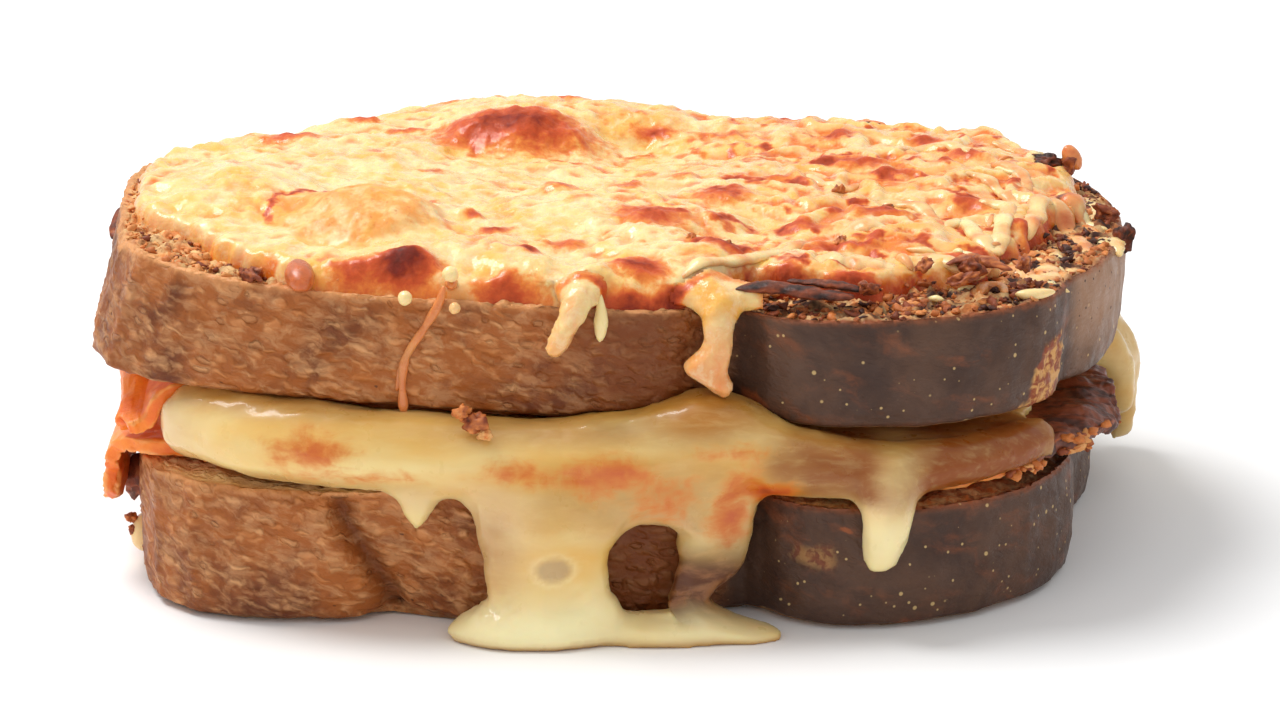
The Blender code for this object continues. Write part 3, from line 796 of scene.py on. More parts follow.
topWrap = Wrap(breadTop)
places, depths = topWrap.places, topWrap.depths
x, y, z = places.T
over = ease(depths, 0.6, 1.6) * (topWrap.shares == 1.0)
scorch = over * (0.34 + 0.6 * cloud(places, 2.6, 3, 5.0)) * (0.5 + 0.9 * ease(x, 0, 25))
scorch += 0.5 * hump(x, -76, 4) * hump(z, 48, 4)
tan = hump(x, 55 + 0.3 * (z - 28), 3.4 - 0.14 * (z - 28))
tan *= ease(-y, 28, 32) * (1 - ease(z, 34, 41))
tan = ease(tan + 0.35 * cloud(places, 2.2, 3, 7.0), 0.4, 0.62)
# painted sheen: the top slice's right end wall lightened where the light falls on it, fading towards the
# back
pale = ease(x, 59, 62) * ease(y, -33, -28) * ease(z, 26, 38) * (depths == 0)
pale *= 1 - ease(y, -12, 26)
sliceTop = makeSlice(topWrap, crustTopSkin, scorch, tan, pale)

bottomWrap = Wrap(breadBottom)
places, depths = bottomWrap.places, bottomWrap.depths
x, y, z = places.T
over = ease(depths, 0.3, 1.1) * (bottomWrap.shares == 1.0)
far = ease(x, 40, 60)
scorch = over * far * 0.6 + 0.25 * over * ease(x, -30, 0) + hump(z, 0, 1.6) * 0.3
tan = hump(x, 24, 4) * hump(z, 10.5, 2.4) * ease(-y, 30, 40)
tan = ease(tan + 0.25 * cloud(places, 3, 3, 9.0), 0.4, 0.9) * 0.4
# painted light: the crumb at the left end made paler where it lies in shade under the ham and filling
pale = ease(-x, 20, 45) * over * 1.5
sliceBottom = makeSlice(bottomWrap, crustBottomSkin, scorch, tan, pale)
print("slices wrapped:", len(sliceTop.data.vertices), len(sliceBottom.data.vertices))


# ham

hamPieces = [
    {"name": "hamUnder", "node": "ham_lower", "levels": 3, "rounds": 5, "seed": 2.0},
    {"name": "hamOver", "node": "ham_upper", "levels": 3, "rounds": 5, "seed": 4.0},
]


def neighbourMean(mesh, values, rounds):
    # values averaged with those of the joined points, several times over
    pairs = np.empty(len(mesh.edges) * 2, dtype=np.int32)
    mesh.edges.foreach_get("vertices", pairs)
    a, b = pairs.reshape(-1, 2).T
    degree = np.bincount(a, minlength=len(values)) + np.bincount(b, minlength=len(values))
    for _ in range(rounds):
        total = np.zeros_like(values)
        for k in range(values.shape[1]):
            total[:, k] = np.bincount(a, values[b, k], len(values))
            total[:, k] += np.bincount(b, values[a, k], len(values))
        values = total / np.maximum(degree, 1)[:, None]
    return values


def makeHamPiece(look):
    piece = copyNode(look["name"], look["node"], hamSkin)
    fine = piece.modifiers.new("fine", "SUBSURF")
    fine.subdivision_type = "SIMPLE"
    fine.levels = fine.render_levels = look["levels"]
    mesh = soften(piece, look["rounds"])
    places, normals = placesOf(mesh), normalsOf(mesh)
    bend = ((places - neighbourMean(mesh, places, 8)) * normals).sum(1)
    edge = ease(bend, 0.12, 0.45)
    dry = ease(places[:, 0], 46, 58)
    push = 0.22 * cloud(places, 5, 2, look["seed"]) + 0.12 * cloud(places, 1.4, 3, look["seed"] + 1)
    push += dry * 0.45 * cloud(places * np.array([0.5, 1, 1]), 1.5, 3, look["seed"] + 2)
    push += edge * 0.7 * cloud(places, 1.6, 3, look["seed"] + 3)
    movePoints(mesh, places + normals * push[:, None])
    addField(mesh, "dry", dry)
    addField(mesh, "edge", edge * (0.75 - 0.1 * dry))
    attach(piece, "root")
    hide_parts(look["node"])
    return placesOf(mesh)[(edge > 0.5) & (places[:, 0] > 50)]


hamFringe = np.vstack([makeHamPiece(look) for look in hamPieces])
print("ham made")


# the melted filling

filling = {
    "name": "fillingMelt", "voxel": 0.64, "rounds": 5, "swell": 0.25, "ripple": 0.14,
    "window": {"x": 2.2, "z": 10.0, "halfWide": 6.2, "halfTall": 6.4},
    # patches on the front: x, height, reach along x, reach up, strength
    "toast": [
        (-44, 26.5, 7, 3.2, 0.4), (-39, 22.8, 12, 1.6, 0.3), (-5, 23.8, 8, 2.6, 0.5),
        (-15, 24.0, 8, 2.2, 0.34), (4, 20, 7, 4.0, 0.36), (12, 26.5, 8, 1.6, 0.26),
        (13, 17, 2.8, 4.0, 0.42), (18, 20.0, 4, 2.2, 0.7), (14.5, 21.5, 3, 3, 0.5),
    ],
    # painted shade: olive where the band lies under the top slice and along the foot, also deepening the
    # tone of the curtain
    "deep": [
        (9, 31, 12, 4.5, 1.0), (-10, 28.8, 20, 2.0, 0.7), (2, 21.5, 18, 5.5, 0.75), (-66, 22, 8, 1.8, 0.7),
        (-45, 31.5, 25, 1.6, 0.8), (-20, 12, 4, 6, 0.5), (14, 15, 4, 4, 0.5), (-47, 21.5, 18, 1.2, 0.6),
        (30, 28, 14, 3, 0.6),
    ],
    "veil": [
        (-20, 15, 6, 7, 0.7), (3, 17.5, 8, 2.0, 0.8), (14, 16, 4, 3, 0.4), (33, 20, 3.6, 2.2, 0.6),
        (-30, 19.5, 5, 2, 0.4), (-66, 28, 6, 6, 0.8),
    ],
    "bubble": {"x": -11.4, "z": 10.8, "halfWide": 2.7, "halfTall": 1.9},
    # paler cheese on the foot and the right drip, and painted highlights
    "paleAndHighlight": [
        (-14, 2.5, 16, 4.2, 1.0), (8, 2.0, 10, 2.0, 0.8), (-55, 27.5, 12, 3.0, 0.12), (33, 15, 5, 5, 0.9),
        (-26, 18, 5, 2.0, 0.5),
    ],
}


def patches(places, rows, front):
    value = np.zeros(len(places))
    for x, z, wide, tall, strength in rows:
        value = np.maximum(value, strength * hump(places[:, 0], x, wide) * hump(places[:, 2], z, tall))
    return value * front


def roundWindow(look, places):
    # the opening in the curtain turns from a box into an oval
    hole = look["window"]
    x, y, z = places.T
    front = ease(-y, 40, 46)
    u, v = (x - hole["x"]) / hole["halfWide"], (z - hole["z"]) / hole["halfTall"]
    near = np.clip(2 - np.maximum(np.abs(u), np.abs(v)), 0, 1) * front * ease(z, 2.0, 4.5)
    moved = places.copy()
    cu, cv = np.clip(u, -1.4, 1.4), np.clip(v, -1.4, 1.4)
    moved[:, 0] += near * hole["halfWide"] * u * (np.sqrt(1 - cv * cv / 2.4) - 1)
    moved[:, 2] += near * hole["halfTall"] * v * (np.sqrt(1 - cu * cu / 2.4) - 1)
    # the leg to its right is wide and leans in towards the foot, which runs out to a tip
    lean = 2.0 * ease(x, 5, 7) * (1 - ease(x, 9, 13)) * (1 - ease(z, 12, 16))
    lean += 3.4 * ease(x, 9, 12) * (1 - ease(x, 15, 19)) * (1 - ease(z, 3, 10))
    moved[:, 0] -= lean * ease(z, 1.6, 4) * front
    tip = ease(x, 9.5, 13.5) * (1 - ease(x, 16, 20)) * (1 - ease(z, 2.2, 4)) * front
    moved[:, 0] += 3.2 * tip
    moved[:, 2] *= 1 - 0.4 * tip
    return moved


def makeFilling(look):
    piece = skinNode(look["name"], "cheese_filling", meltSkin, look["voxel"], look["rounds"])
    mesh = piece.data
    places, normals = placesOf(mesh), normalsOf(mesh)
    x, y, z = places.T
    front = ease(-y, 26, 42)
    stretched = places * np.array([0.3, 1.0, 1.0])
    push = look["swell"] + look["ripple"] * cloud(stretched, 3.5, 2, 1.0) + 0.25 * cloud(places, 7, 2, 2.0)
    push += 0.10 * cloud(places, 1.6, 3, 3.0)
    push *= ease(z, 0.2, 1.5)
    # right of the window the cheese is no more than a dark see-through film; its colour is painted, the
    # shaded crust behind it
    film = ease(x, 4.8, 7.0) * (1 - ease(x, 19, 21)) * (1 - ease(z + 0.25 * (x - 10), 8, 17.5))
    film *= ease(z, 1.8, 4.4) * front
    push -= film * 0.5
    glints = hump(x, -19, 5) * hump(z, 4.5, 2.2) * front
    push += glints * 0.4 * cloud(places, 1.0, 2, 6.0)
    movePoints(mesh, roundWindow(look, places + normals * push[:, None]))
    addField(mesh, "toast", patches(places, look["toast"], front) * (0.9 + 0.35 * cloud(places, 3, 3, 4.0)))
    hole = look["bubble"]
    bubble = np.hypot((x - hole["x"]) / hole["halfWide"], (z - hole["z"]) / hole["halfTall"])
    # with a painted highlight round the rim of the bubble
    paleAndHighlight = np.maximum(patches(places, look["paleAndHighlight"], front), hump(bubble, 1.08, 0.2) * 0.34 * front)
    addField(mesh, "paleAndHighlight", paleAndHighlight)
    # painted shade: amber on the band recessed under the top slice at the right, and in the slit
    right = ease(x, 32, 40) * ease(z, 17, 20) * (1 - ease(x, 66, 72))
    slit = ease(x, 14, 20) * (1 - ease(x, 30, 36)) * ease(z, 18, 20.5) * (1 - ease(z, 25, 30))
    recessShade = (right * 1.15 + slit) * (0.9 + 0.3 * cloud(places, 9, 2, 5.0)) * front
    addField(mesh, "recessShade", np.clip(recessShade, 0, 1))
    # painted shade: the listed patches, the far right end under the top slice and a band along the foot at
    # the floor
    deep = patches(places, look["deep"], front) + 0.4 * ease(x, 66, 72) + 0.8 * hump(z, 0, 0.9)
    addField(mesh, "deep", np.clip(deep, 0, 1))
    addField(mesh, "veil", np.clip(patches(places, look["veil"], front), 0, 1))
    addField(mesh, "film", np.clip(film, 0, 1))
    addField(mesh, "bubble", (1 - ease(bubble, 0.6, 1.08)) * 0.6 * front)
    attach(piece, "root")
    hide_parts("cheese_filling")
    return piece


fillingMelt = makeFilling(filling)
print("filling made:", len(fillingMelt.data.vertices))


# the gratin: a sheet drawn on a fine map seen from above, plus the drips that run over the edge

gratin = {
    "name": "gratinSheet", "cell": 0.4, "shreds": 1500, "seed": 21, "edgeRound": 2.4, "sink": 2.2,
    "dripVoxel": 0.5,
    # how far the sheet keeps from the rim: x, distance; along the front and along the back
    "frontMargin": [
        (-78, 2.0), (-71, 8.5), (-62, 9.5), (-54, 6.0), (-48, 1.4), (-44, 0.8), (9, 0.8), (14, 4.5),
        (22, 9.0), (40, 10.5), (56, 10.5), (66, 9.5), (74, 8.0),
    ],
    "backMargin": [
        (-78, 2.0), (-60, 1.2), (42, 1.4), (54, 2.4), (64, 5.0), (74, 8.0),
    ],
    # blisters: x, y, reach along x and y, turn in degrees, height, how dark
    "blisters": [
        (-39, -24, 12, 11.5, 8, 1.5, 0.0), (-31.5, -44.8, 4.8, 2.2, 8, 1.0, 0.8),
        (-37.5, -45.6, 5, 2.2, 4, 0.7, 0.42), (-30, -14, 1.8, 1.4, 0, 0.3, 0.42),
        (-24.5, -21, 2.4, 1.8, 0, 1.5, 0.1), (-23, -22, 1.4, 1.2, 0, 1.2, 0.5),
        (-19, 26, 12.0, 5.0, 4, 0.5, 0.56), (-52, 22, 6, 2.2, 14, 0.7, 0.4), (-42, 36, 3, 1.6, 0, 0.6, 0.4),
        (-35, 30, 4, 1.0, 0, 0.4, 0.4), (-58, 23, 4, 3, 0, 1.0, 0.08), (-11, -5, 3.0, 2.6, 0, 0.7, 0.34),
        (-2, 1, 3.2, 3.0, 0, 0.8, 0.36), (6, 7, 2.6, 2.2, 0, 0.6, 0.3), (12, -4, 4.2, 4.0, 20, 1.4, 0.5),
        (2, -20, 6.4, 4.2, -8, 1.3, 0.44), (-11, 17, 3, 1.0, 0, 0.4, 0.5),
        (-20, -27, 2.4, 1.2, 20, 0.5, 0.55), (-10, -32, 3.6, 2.4, 0, 0.7, 0.34),
        (-15, -38, 1.8, 2.2, 0, 0.6, 0.6), (0, -42, 4.4, 3.0, -6, 1.0, 0.6),
        (4.5, -46.5, 2.6, 1.8, 0, 0.6, 0.4), (12, -32, 4.0, 3.0, 18, 1.1, 0.66),
        (-17.6, -47.4, 3.8, 2.4, 0, 1.6, 0.4), (3, 34, 4.5, 1.6, 0, 0.4, 0.32),
        (12, 33, 6, 1.6, -6, 0.4, 0.3), (-11, 47, 3.4, 1.4, 0, 0.4, 0.34), (30, 32, 3.4, 2.6, 40, 0.7, 0.5),
        (32, 15, 6.5, 2.6, -6, 0.8, 0.5), (37, 9, 5.5, 1.6, -10, 0.5, 0.52),
        (45, 16, 2.6, 1.6, 0, 0.5, 0.5), (49, 21, 3.4, 2.0, -30, 0.6, 0.52), (52, 7, 3.4, 2.2, 0, 0.7, 0.4),
        (35, -11, 5.5, 3.2, 10, 1.1, 0.52), (28, -27, 6.5, 2.0, 4, 0.5, 0.5),
        (39, -38, 3.4, 1.6, 0, 0.6, 0.66), (46, -30, 5.5, 2.8, 0, 0.7, 0.44),
        (52, -22, 2.0, 1.4, 0, 0.4, 0.66), (23, -17, 4.5, 1.8, -8, 0.5, 0.48),
        (48, -4, 3.4, 4.0, 20, 0.6, 0.4), (18, 24, 4.5, 1.4, 0, 0.3, 0.38), (5, 50, 5.5, 1.4, 0, 0.3, 0.4),
        (-30, 6, 3.4, 1.4, 12, 0.4, 0.22), (-8, -13, 3.4, 1.4, 30, 0.4, 0.24),
        (20, 6, 4.5, 1.8, 20, 0.5, 0.3), (-13, -48.6, 5, 2.6, 0, 1.3, 0.0),
        (-3, -47.6, 4, 2.2, 10, 0.8, 0.0), (44, 30, 3, 2, -20, 0.5, 0.5), (57, 16, 3, 2, 20, 0.5, 0.4),
        (24, 44, 5, 1.6, -10, 0.4, 0.42), (-28, 48, 4, 1.6, 0, 0.5, 0.3), (56, -14, 3.4, 2.4, 0, 0.6, 0.4),
        (20, -40, 4, 2.2, -10, 0.7, 0.6), (29, -40, 4, 2.2, 10, 0.6, 0.5), (0, -48.5, 5, 1.4, 0, 0.4, 0.75),
        (61, -8, 3, 3, 0, 0.4, 0.5),
    ],
    # the smooth golden dome: its middle and its reach along x and y
    "dome": {"x": -39, "y": -24.5, "wide": 12, "deep": 12.5},
}


class TopMap:
    def __init__(self, cell):
        self.cell = cell
        self.x = np.arange(-80, 80, cell)
        self.y = np.arange(-64, 64, cell)
        self.gridX, self.gridY = np.meshgrid(self.x, self.y)
        self.height = np.zeros_like(self.gridX)
        self.toast = np.zeros_like(self.gridX)

    def cloud(self, size, octaves, seed):
        flat = np.stack([self.gridX.ravel(), self.gridY.ravel(), self.gridX.ravel() * 0], 1)
        return cloud(flat, size, octaves, seed).reshape(self.gridX.shape)

    def window(self, x, y, reach):
        i0 = int(np.clip((x - reach - self.x[0]) / self.cell, 0, len(self.x) - 1))
        i1 = int(np.clip((x + reach - self.x[0]) / self.cell + 1, 1, len(self.x)))
        j0 = int(np.clip((y - reach - self.y[0]) / self.cell, 0, len(self.y) - 1))
        j1 = int(np.clip((y + reach - self.y[0]) / self.cell + 1, 1, len(self.y)))
        return slice(j0, j1), slice(i0, i1)

    def blister(self, x, y, wide, deep, turn, height, dark):
        box = self.window(x, y, max(wide, deep) * 2)
        c, s = math.cos(math.radians(turn)), math.sin(math.radians(turn))
        u = ((self.gridX[box] - x) * c + (self.gridY[box] - y) * s) / wide
        v = (-(self.gridX[box] - x) * s + (self.gridY[box] - y) * c) / deep
        r = np.sqrt(u * u + v * v)
        dome = np.sqrt(np.clip(1 - r * r, 0, 1)) * 0.7 + 0.3 * np.exp(-(r / 0.9) ** 2)
        self.height[box] = np.maximum(self.height[box], height * dome)
        brown = 0.75 * dark * np.exp(-(r / 0.8) ** 2) + 0.45 * dark * np.exp(-(r / 1.5) ** 2)
        self.toast[box] = np.maximum(self.toast[box], brown)

    def shred(self, points, wide, height):
        # a strand lying on the surface, round on top
        reach = wide * 1.2
        for (ax, ay), (bx, by) in zip(points, points[1:]):
            length = math.hypot(bx - ax, by - ay)
            box = self.window((ax + bx) / 2, (ay + by) / 2, length / 2 + reach)
            px, py = self.gridX[box] - ax, self.gridY[box] - ay
            t = np.clip((px * (bx - ax) + py * (by - ay)) / max(length * length, 1e-6), 0, 1)
            r = np.hypot(px - t * (bx - ax), py - t * (by - ay)) / wide
            self.height[box] = np.maximum(self.height[box], height * np.sqrt(np.clip(1 - r * r, 0, 1)))

    def read(self, grid, x, y):
        i = np.clip((x - self.x[0]) / self.cell, 0, len(self.x) - 1.001)
        j = np.clip((y - self.y[0]) / self.cell, 0, len(self.y) - 1.001)
        i0, j0 = i.astype(int), j.astype(int)
        u, v = i - i0, j - j0
        low = grid[j0, i0] * (1 - u) + grid[j0, i0 + 1] * u
        high = grid[j0 + 1, i0] * (1 - u) + grid[j0 + 1, i0 + 1] * u
        return low * (1 - v) + high * v


def blurred(grid, rounds):
    for _ in range(rounds):
        beside = np.roll(grid, 1, 0) + np.roll(grid, -1, 0) + np.roll(grid, 1, 1) + np.roll(grid, -1, 1)
        grid = (beside + grid * 2) / 6
    return grid


def flatFinder(points):
    # finds the nearest of the points as seen from above
    finder = KDTree(len(points))
    for k, (x, y, z) in enumerate(points):
        finder.insert((x, y, 0), k)
    finder.balance()
    return finder


def surveyTop(top, wrap):
    # the bread's upper surface, the CAD gratin's surface and the distance in from the rim
    rimLine = wrap.rimLine()
    finder = flatFinder(rimLine)
    cheese = nodeTree("cheese_topping")
    angles = np.arctan2(top.gridY - wrap.middle.y, top.gridX - wrap.middle.x) % (2 * math.pi)
    limit = np.interp(angles, wrap.turn, wrap.rimReach, period=2 * math.pi)
    inside = np.hypot(top.gridX - wrap.middle.x, top.gridY - wrap.middle.y) < limit
    bread, crust, depth = (np.zeros_like(top.gridX) for _ in range(3))
    for j, y in enumerate(top.y):
        for i, x in enumerate(top.x):
            near, k, gap = finder.find((x, y, 0))
            depth[j, i] = gap if inside[j, i] else -gap
            if depth[j, i] < -3:
                bread[j, i] = crust[j, i] = rimLine[k, 2]
                continue
            bread[j, i] = topOf(wrap.tree, x, y, rimLine[k, 2]) if depth[j, i] > 0.8 else rimLine[k, 2]
            crust[j, i] = max(topOf(cheese, x, y, 0), bread[j, i] + 2.2)
    return bread, crust, depth


def sheetEdge(look, top, depth):
    # how far inside the sheet's ragged edge each cell lies
    x, y = top.gridX, top.gridY
    front = np.interp(x, *zip(*look["frontMargin"]))
    back = np.interp(x, *zip(*look["backMargin"]))
    left = ease(-x, 30, 45)
    margin = front + (back - front) * (ease(y, -34, -20) * left + ease(y, -12, 12) * (1 - left))
    return depth - margin - top.cloud(7, 3, 11.0) * np.clip(margin * 0.35, 0.15, 2.6)


def drawRelief(look, top):
    rng = random.Random(look["seed"])
    shreds, noodles = TopMap(look["cell"]), TopMap(look["cell"])
    for _ in range(look["shreds"]):
        x, y = rng.uniform(-74, 72), rng.uniform(-58, 58)
        right = float(ease(x, -5, 35))
        turn, bend = rng.uniform(0, 2 * math.pi), rng.uniform(-0.5, 0.5)
        points = [(x, y)]
        for _ in range(rng.randint(3, 8)):
            turn += bend + rng.uniform(-0.3, 0.3)
            x, y = x + math.cos(turn) * 1.4, y + math.sin(turn) * 1.4
            points.append((x, y))
        if rng.random() < 0.12 + 0.2 * right:
            noodles.shred(points, rng.uniform(1.0, 1.5), rng.uniform(0.5, 1.1) * (0.45 + 0.7 * right))
        else:
            shreds.shred(points, rng.uniform(0.6, 1.1), rng.uniform(0.2, 0.5))
    for blister in look["blisters"]:
        top.blister(*blister)
    fine = blurred(shreds.height, 2)
    thick = blurred(noodles.height, 2)
    relief = np.maximum(fine, thick)
    blisters = blurred(top.height, 2)
    hollowGlow = np.clip((blurred(relief, 50) - relief) * 2.6, 0, 1)
    return relief * np.clip(1 - blisters * 0.5, 0.35, 1) + blisters, blurred(top.toast, 2), hollowGlow


def closeSheet(places, faces, drop):
    # walls and a floor below the sheet's open edge
    sides = dict.fromkeys(side for face in faces for side in zip(face, face[1:] + face[:1]))
    border = {a: b for a, b in sides if (b, a) not in sides}
    lower = {v: len(places) + k for k, v in enumerate(border)}
    places = np.vstack([places, places[list(border)] - np.array([0, 0, drop])])
    centre = len(places)
    places = np.vstack([places, places[list(lower.values())].mean(0)])
    for a, b in border.items():
        faces.append((b, a, lower[a], lower[b]))
        faces.append((lower[b], lower[a], centre))
    return places, faces


def domeMask(look, top):
    u, v = (top.gridX - look["x"]) / look["wide"], (top.gridY - look["y"]) / look["deep"]
    return 1 - ease(np.sqrt(u ** 2 + v ** 2) + 0.16 * top.cloud(4, 3, 20.0), 0.8, 1.12)


def makeSheet(look, top, bread, crust, depth, within, relief, dome):
    # the sheet's height, and its points and faces closed below
    x, y = top.gridX, top.gridY
    swell = top.cloud(15, 2, 12.0) * 0.7 + top.cloud(5, 3, 13.0) * 0.65 + top.cloud(1.5, 3, 14.0) * 0.14
    edge = np.clip(within / look["edgeRound"], 0, 1)
    plateau = np.sqrt(1 - (1 - edge) ** 2)
    height = bread + (crust - bread) * plateau + (relief * (1 - 0.15 * dome) + swell - 0.35) * plateau
    height -= look["sink"] * ease(-within, 0, 0.8) + 0.4 * (1 - plateau)
    keep = (within > -1.2) & (depth > 0.1)
    number = -np.ones(x.shape, dtype=int)
    number[keep] = np.arange(keep.sum())
    places = np.stack([x[keep], y[keep], height[keep]], 1)
    whole = keep[:-1, :-1] & keep[1:, :-1] & keep[:-1, 1:] & keep[1:, 1:]
    rows, columns = np.nonzero(whole)
    faces = list(zip(number[rows, columns].tolist(), number[rows, columns + 1].tolist(),
                     number[rows + 1, columns + 1].tolist(), number[rows + 1, columns].tolist()))
    used = sorted({v for face in faces for v in face})
    renumber = {v: k for k, v in enumerate(used)}
    faces = [tuple(renumber[v] for v in face) for face in faces]
    return height, *closeSheet(places[used], faces, 1.2)


def makeDrips(look, top, bread, depth):
    # what hangs over the rim, taken from a fine skin over the CAD gratin
    skin = skinNode("drips", "cheese_topping", gratinSkin, look["dripVoxel"], 3)
    places, normals = placesOf(skin.data), normalsOf(skin.data)
    x, y, z = places.T
    hanging = flatFinder(places[z < top.read(bread, x, y) - 2.5])
    closeBy = np.array([hanging.find((px, py, 0))[2] < 4.5 for px, py, pz in places])
    outer = (top.read(depth, x, y) < 2.2) & closeBy
    faces = [tuple(p.vertices) for p in skin.data.polygons if all(outer[v] for v in p.vertices)]
    places += normals * (0.25 * cloud(places, 2.4, 3, 15.0))[:, None]
    # the left drip ends higher, the right one spreads and then runs to a point
    z += (1 - ease(x, -3, 0)) * 0.4 * np.clip(46 - z, 0, 12)
    right = ease(x, 0, 3)
    x -= right * 2.4 * hump(z, 37.4, 1.9) * ease(11 - x, 0, 2.5)
    x += right * 1.6 * ease(36.5 - z, 0, 2.5)
    bpy.data.objects.remove(skin)
    return places, faces


def makeGratinSheet(look, wrap):
    top = TopMap(look["cell"])
    bread, crust, depth = surveyTop(top, wrap)
    within = sheetEdge(look, top, depth)
    relief, toast, hollowGlow = drawRelief(look, top)
    dome = domeMask(look["dome"], top)
    height, places, faces = makeSheet(look, top, bread, blurred(crust, 10), depth, within, relief, dome)
    dripPlaces, dripFaces = makeDrips(look, top, bread, depth)
    faces += [tuple(v + len(places) for v in face) for face in dripFaces]
    piece = makePiece(look["name"], np.vstack([places, dripPlaces]), faces, gratinSkin)
    shape = bmesh.new()
    shape.from_mesh(piece.data)
    bmesh.ops.delete(shape, geom=[v for v in shape.verts if not v.link_faces], context="VERTS")
    shape.to_mesh(piece.data)
    shape.free()
    # where it is toasted, orange or golden
    places = placesOf(piece.data)
    x, y, z = places.T
    isDrip = ease(-top.read(depth, x, y), -0.6, 0.6)
    right = ease(x, -20, 45)
    back = ease(y, 0, 45)
    flecks = cloud(places, 3.4, 3, 16.0) + 0.5 * cloud(places * np.array([0.5, 1, 1]), 7, 2, 19.0)
    spread = np.clip(flecks - 0.24, 0, 1) * (0.1 + 1.2 * right + 0.1 * back)
    lip = ease(-top.read(within, x, y), -1.8, 0.2)
    toastAt = top.read(toast, x, y)
    domeAt = top.read(dome, x, y)
    ring = hump(domeAt, 0.42, 0.26) * ease(y - 0.6 * x, -4, 8) * 0.6
    addField(piece.data, "dome", domeAt)
    toastAt += spread + ring + lip * 0.25 * ease(x, -40, 0) * (1 - isDrip)
    toastAt = np.minimum(toastAt, 0.85 - 0.3 * right) * (1 - 0.75 * isDrip)
    addField(piece.data, "toast", np.clip(toastAt, 0, 1))
    wide = ease(cloud(places, 11, 2, 17.0) + right * 0.5, -0.25, 0.5)
    # painted glow through the cheese: strongest in hollows, along the sheet's edge and low on the drips
    depthAt = top.read(hollowGlow, x, y)
    orange = isDrip * 0.4 * ease(-z, -46, -37)
    depthAt *= 0.3 + 1.7 * wide
    addField(piece.data, "hollowGlow", np.clip((depthAt + lip * 0.5) * (1 - 0.7 * isDrip) + orange, 0, 1))
    warm = 0.05 + 0.45 * right + 0.1 * back - 0.2 * isDrip + 0.35 * cloud(places, 16, 2, 18.0)
    addField(piece.data, "warm", np.clip(warm, 0, 1))
    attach(piece, "root")
    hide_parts("cheese_topping")
    return piece, top, height, bread, depth, within


gratinSheet, topMap, sheetHeight, breadHeight, rimDepth, sheetInside = makeGratinSheet(gratin, topWrap)
print("gratin made:", len(gratinSheet.data.vertices))


def readAt(grid, x, y):
    return topMap.read(grid, np.array([x], float), np.array([y], float))[0]


def groundAt(x, y):
    # the highest of gratin and bread at a place
    crumb = readAt(breadHeight, x, y) - 0.5
    return max(readAt(sheetHeight, x, y), crumb) if readAt(sheetInside, x, y) > 0 else crumb


# loose shapes: each kind is gathered in one mesh

class Heap:
    def __init__(self):
        self.places, self.faces, self.tones, self.count = [], [], [], 0

    def add(self, places, faces, tones):
        self.places.append(places)
        self.faces += [tuple(v + self.count for v in face) for face in faces]
        self.tones.append(np.broadcast_to(tones, len(places)))
        self.count += len(places)

    def finish(self, name, finish, slot):
        piece = makePiece(name, np.vstack(self.places), self.faces, finish)
        addField(piece.data, "tone", np.clip(np.concatenate(self.tones), 0, 1))
        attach(piece, "root")
        return piece


def smoothLine(points, step):
    # an even line through the points with rounded turns
    points = np.array(points, float)
    ends = np.vstack([points[0] * 2 - points[1], points, points[-1] * 2 - points[-2]])
    line = []
    for k in range(1, len(ends) - 2):
        a, b, c, d = ends[k - 1:k + 3]
        for t in np.linspace(0, 1, 10, endpoint=False):
            bow = (2 * a - 5 * b + 4 * c - d) * t * t + (3 * b - a - 3 * c + d) * t ** 3
            line.append(0.5 * (2 * b + (c - a) * t + bow))
    line = np.array(line + [points[-1]])
    travelled = np.concatenate([[0], np.cumsum(np.linalg.norm(np.diff(line, axis=0), axis=1))])
    wanted = np.linspace(0, travelled[-1], max(int(travelled[-1] / step), 3))
    return np.stack([np.interp(wanted, travelled, line[:, k]) for k in range(line.shape[1])], 1)


def strand(line, thickness, flatness=1.0, facing=(0, 0, 1), seed=0.0):
    # a round-ended tube along the line; flatness squeezes it towards the side it faces
    sides, blunt = 12, 1.3
    line = np.array(line, float)
    count = len(line)
    tangents = np.gradient(line, axis=0)
    tangents /= np.linalg.norm(tangents, axis=1)[:, None] + 1e-9
    side = np.cross(tangents, facing)
    steep = np.linalg.norm(side, axis=1) < 0.15
    side[steep] = [1, 0, 0]
    side /= np.linalg.norm(side, axis=1)[:, None]
    up = np.cross(side, tangents)
    share = np.linspace(0, 1, count)
    run = np.concatenate([[0], np.cumsum(np.linalg.norm(np.diff(line, axis=0), axis=1))])
    toEnd = np.minimum(run, run[-1] - run) / thickness
    taper = np.sqrt(np.clip(1 - (1 - np.clip(toEnd / blunt, 0, 1)) ** 2, 0.02, 1))
    taper *= 0.55 + 0.45 * ease(toEnd, 0, 3.5)
    wobble = 1 + 0.4 * cloud(np.stack([run, run * 0, run * 0], 1), 3.6, 2, seed)
    radius = thickness * taper * wobble
    places, faces = [], []
    for k in range(count):
        for s in range(sides):
            a = 2 * math.pi * s / sides
            across, over = side[k] * math.cos(a) * radius[k], up[k] * math.sin(a) * radius[k] * flatness
            places.append(line[k] + across + over)
    for k in range(count - 1):
        for s in range(sides):
            n = (s + 1) % sides
            faces.append((k * sides + s, (k + 1) * sides + s, (k + 1) * sides + n, k * sides + n))
    places += [line[0], line[-1]]
    first, last = count * sides, count * sides + 1
    for s in range(sides):
        n = (s + 1) % sides
        faces.append((s, n, first))
        faces.append(((count - 1) * sides + n, (count - 1) * sides + s, last))
    places = np.array(places)
    out = places - places.mean(0)
    bumps = 0.12 * thickness * cloud(places, 1.1, 2, seed + 1)
    return places + out / (np.linalg.norm(out, axis=1)[:, None] + 1e-6) * bumps[:, None], faces


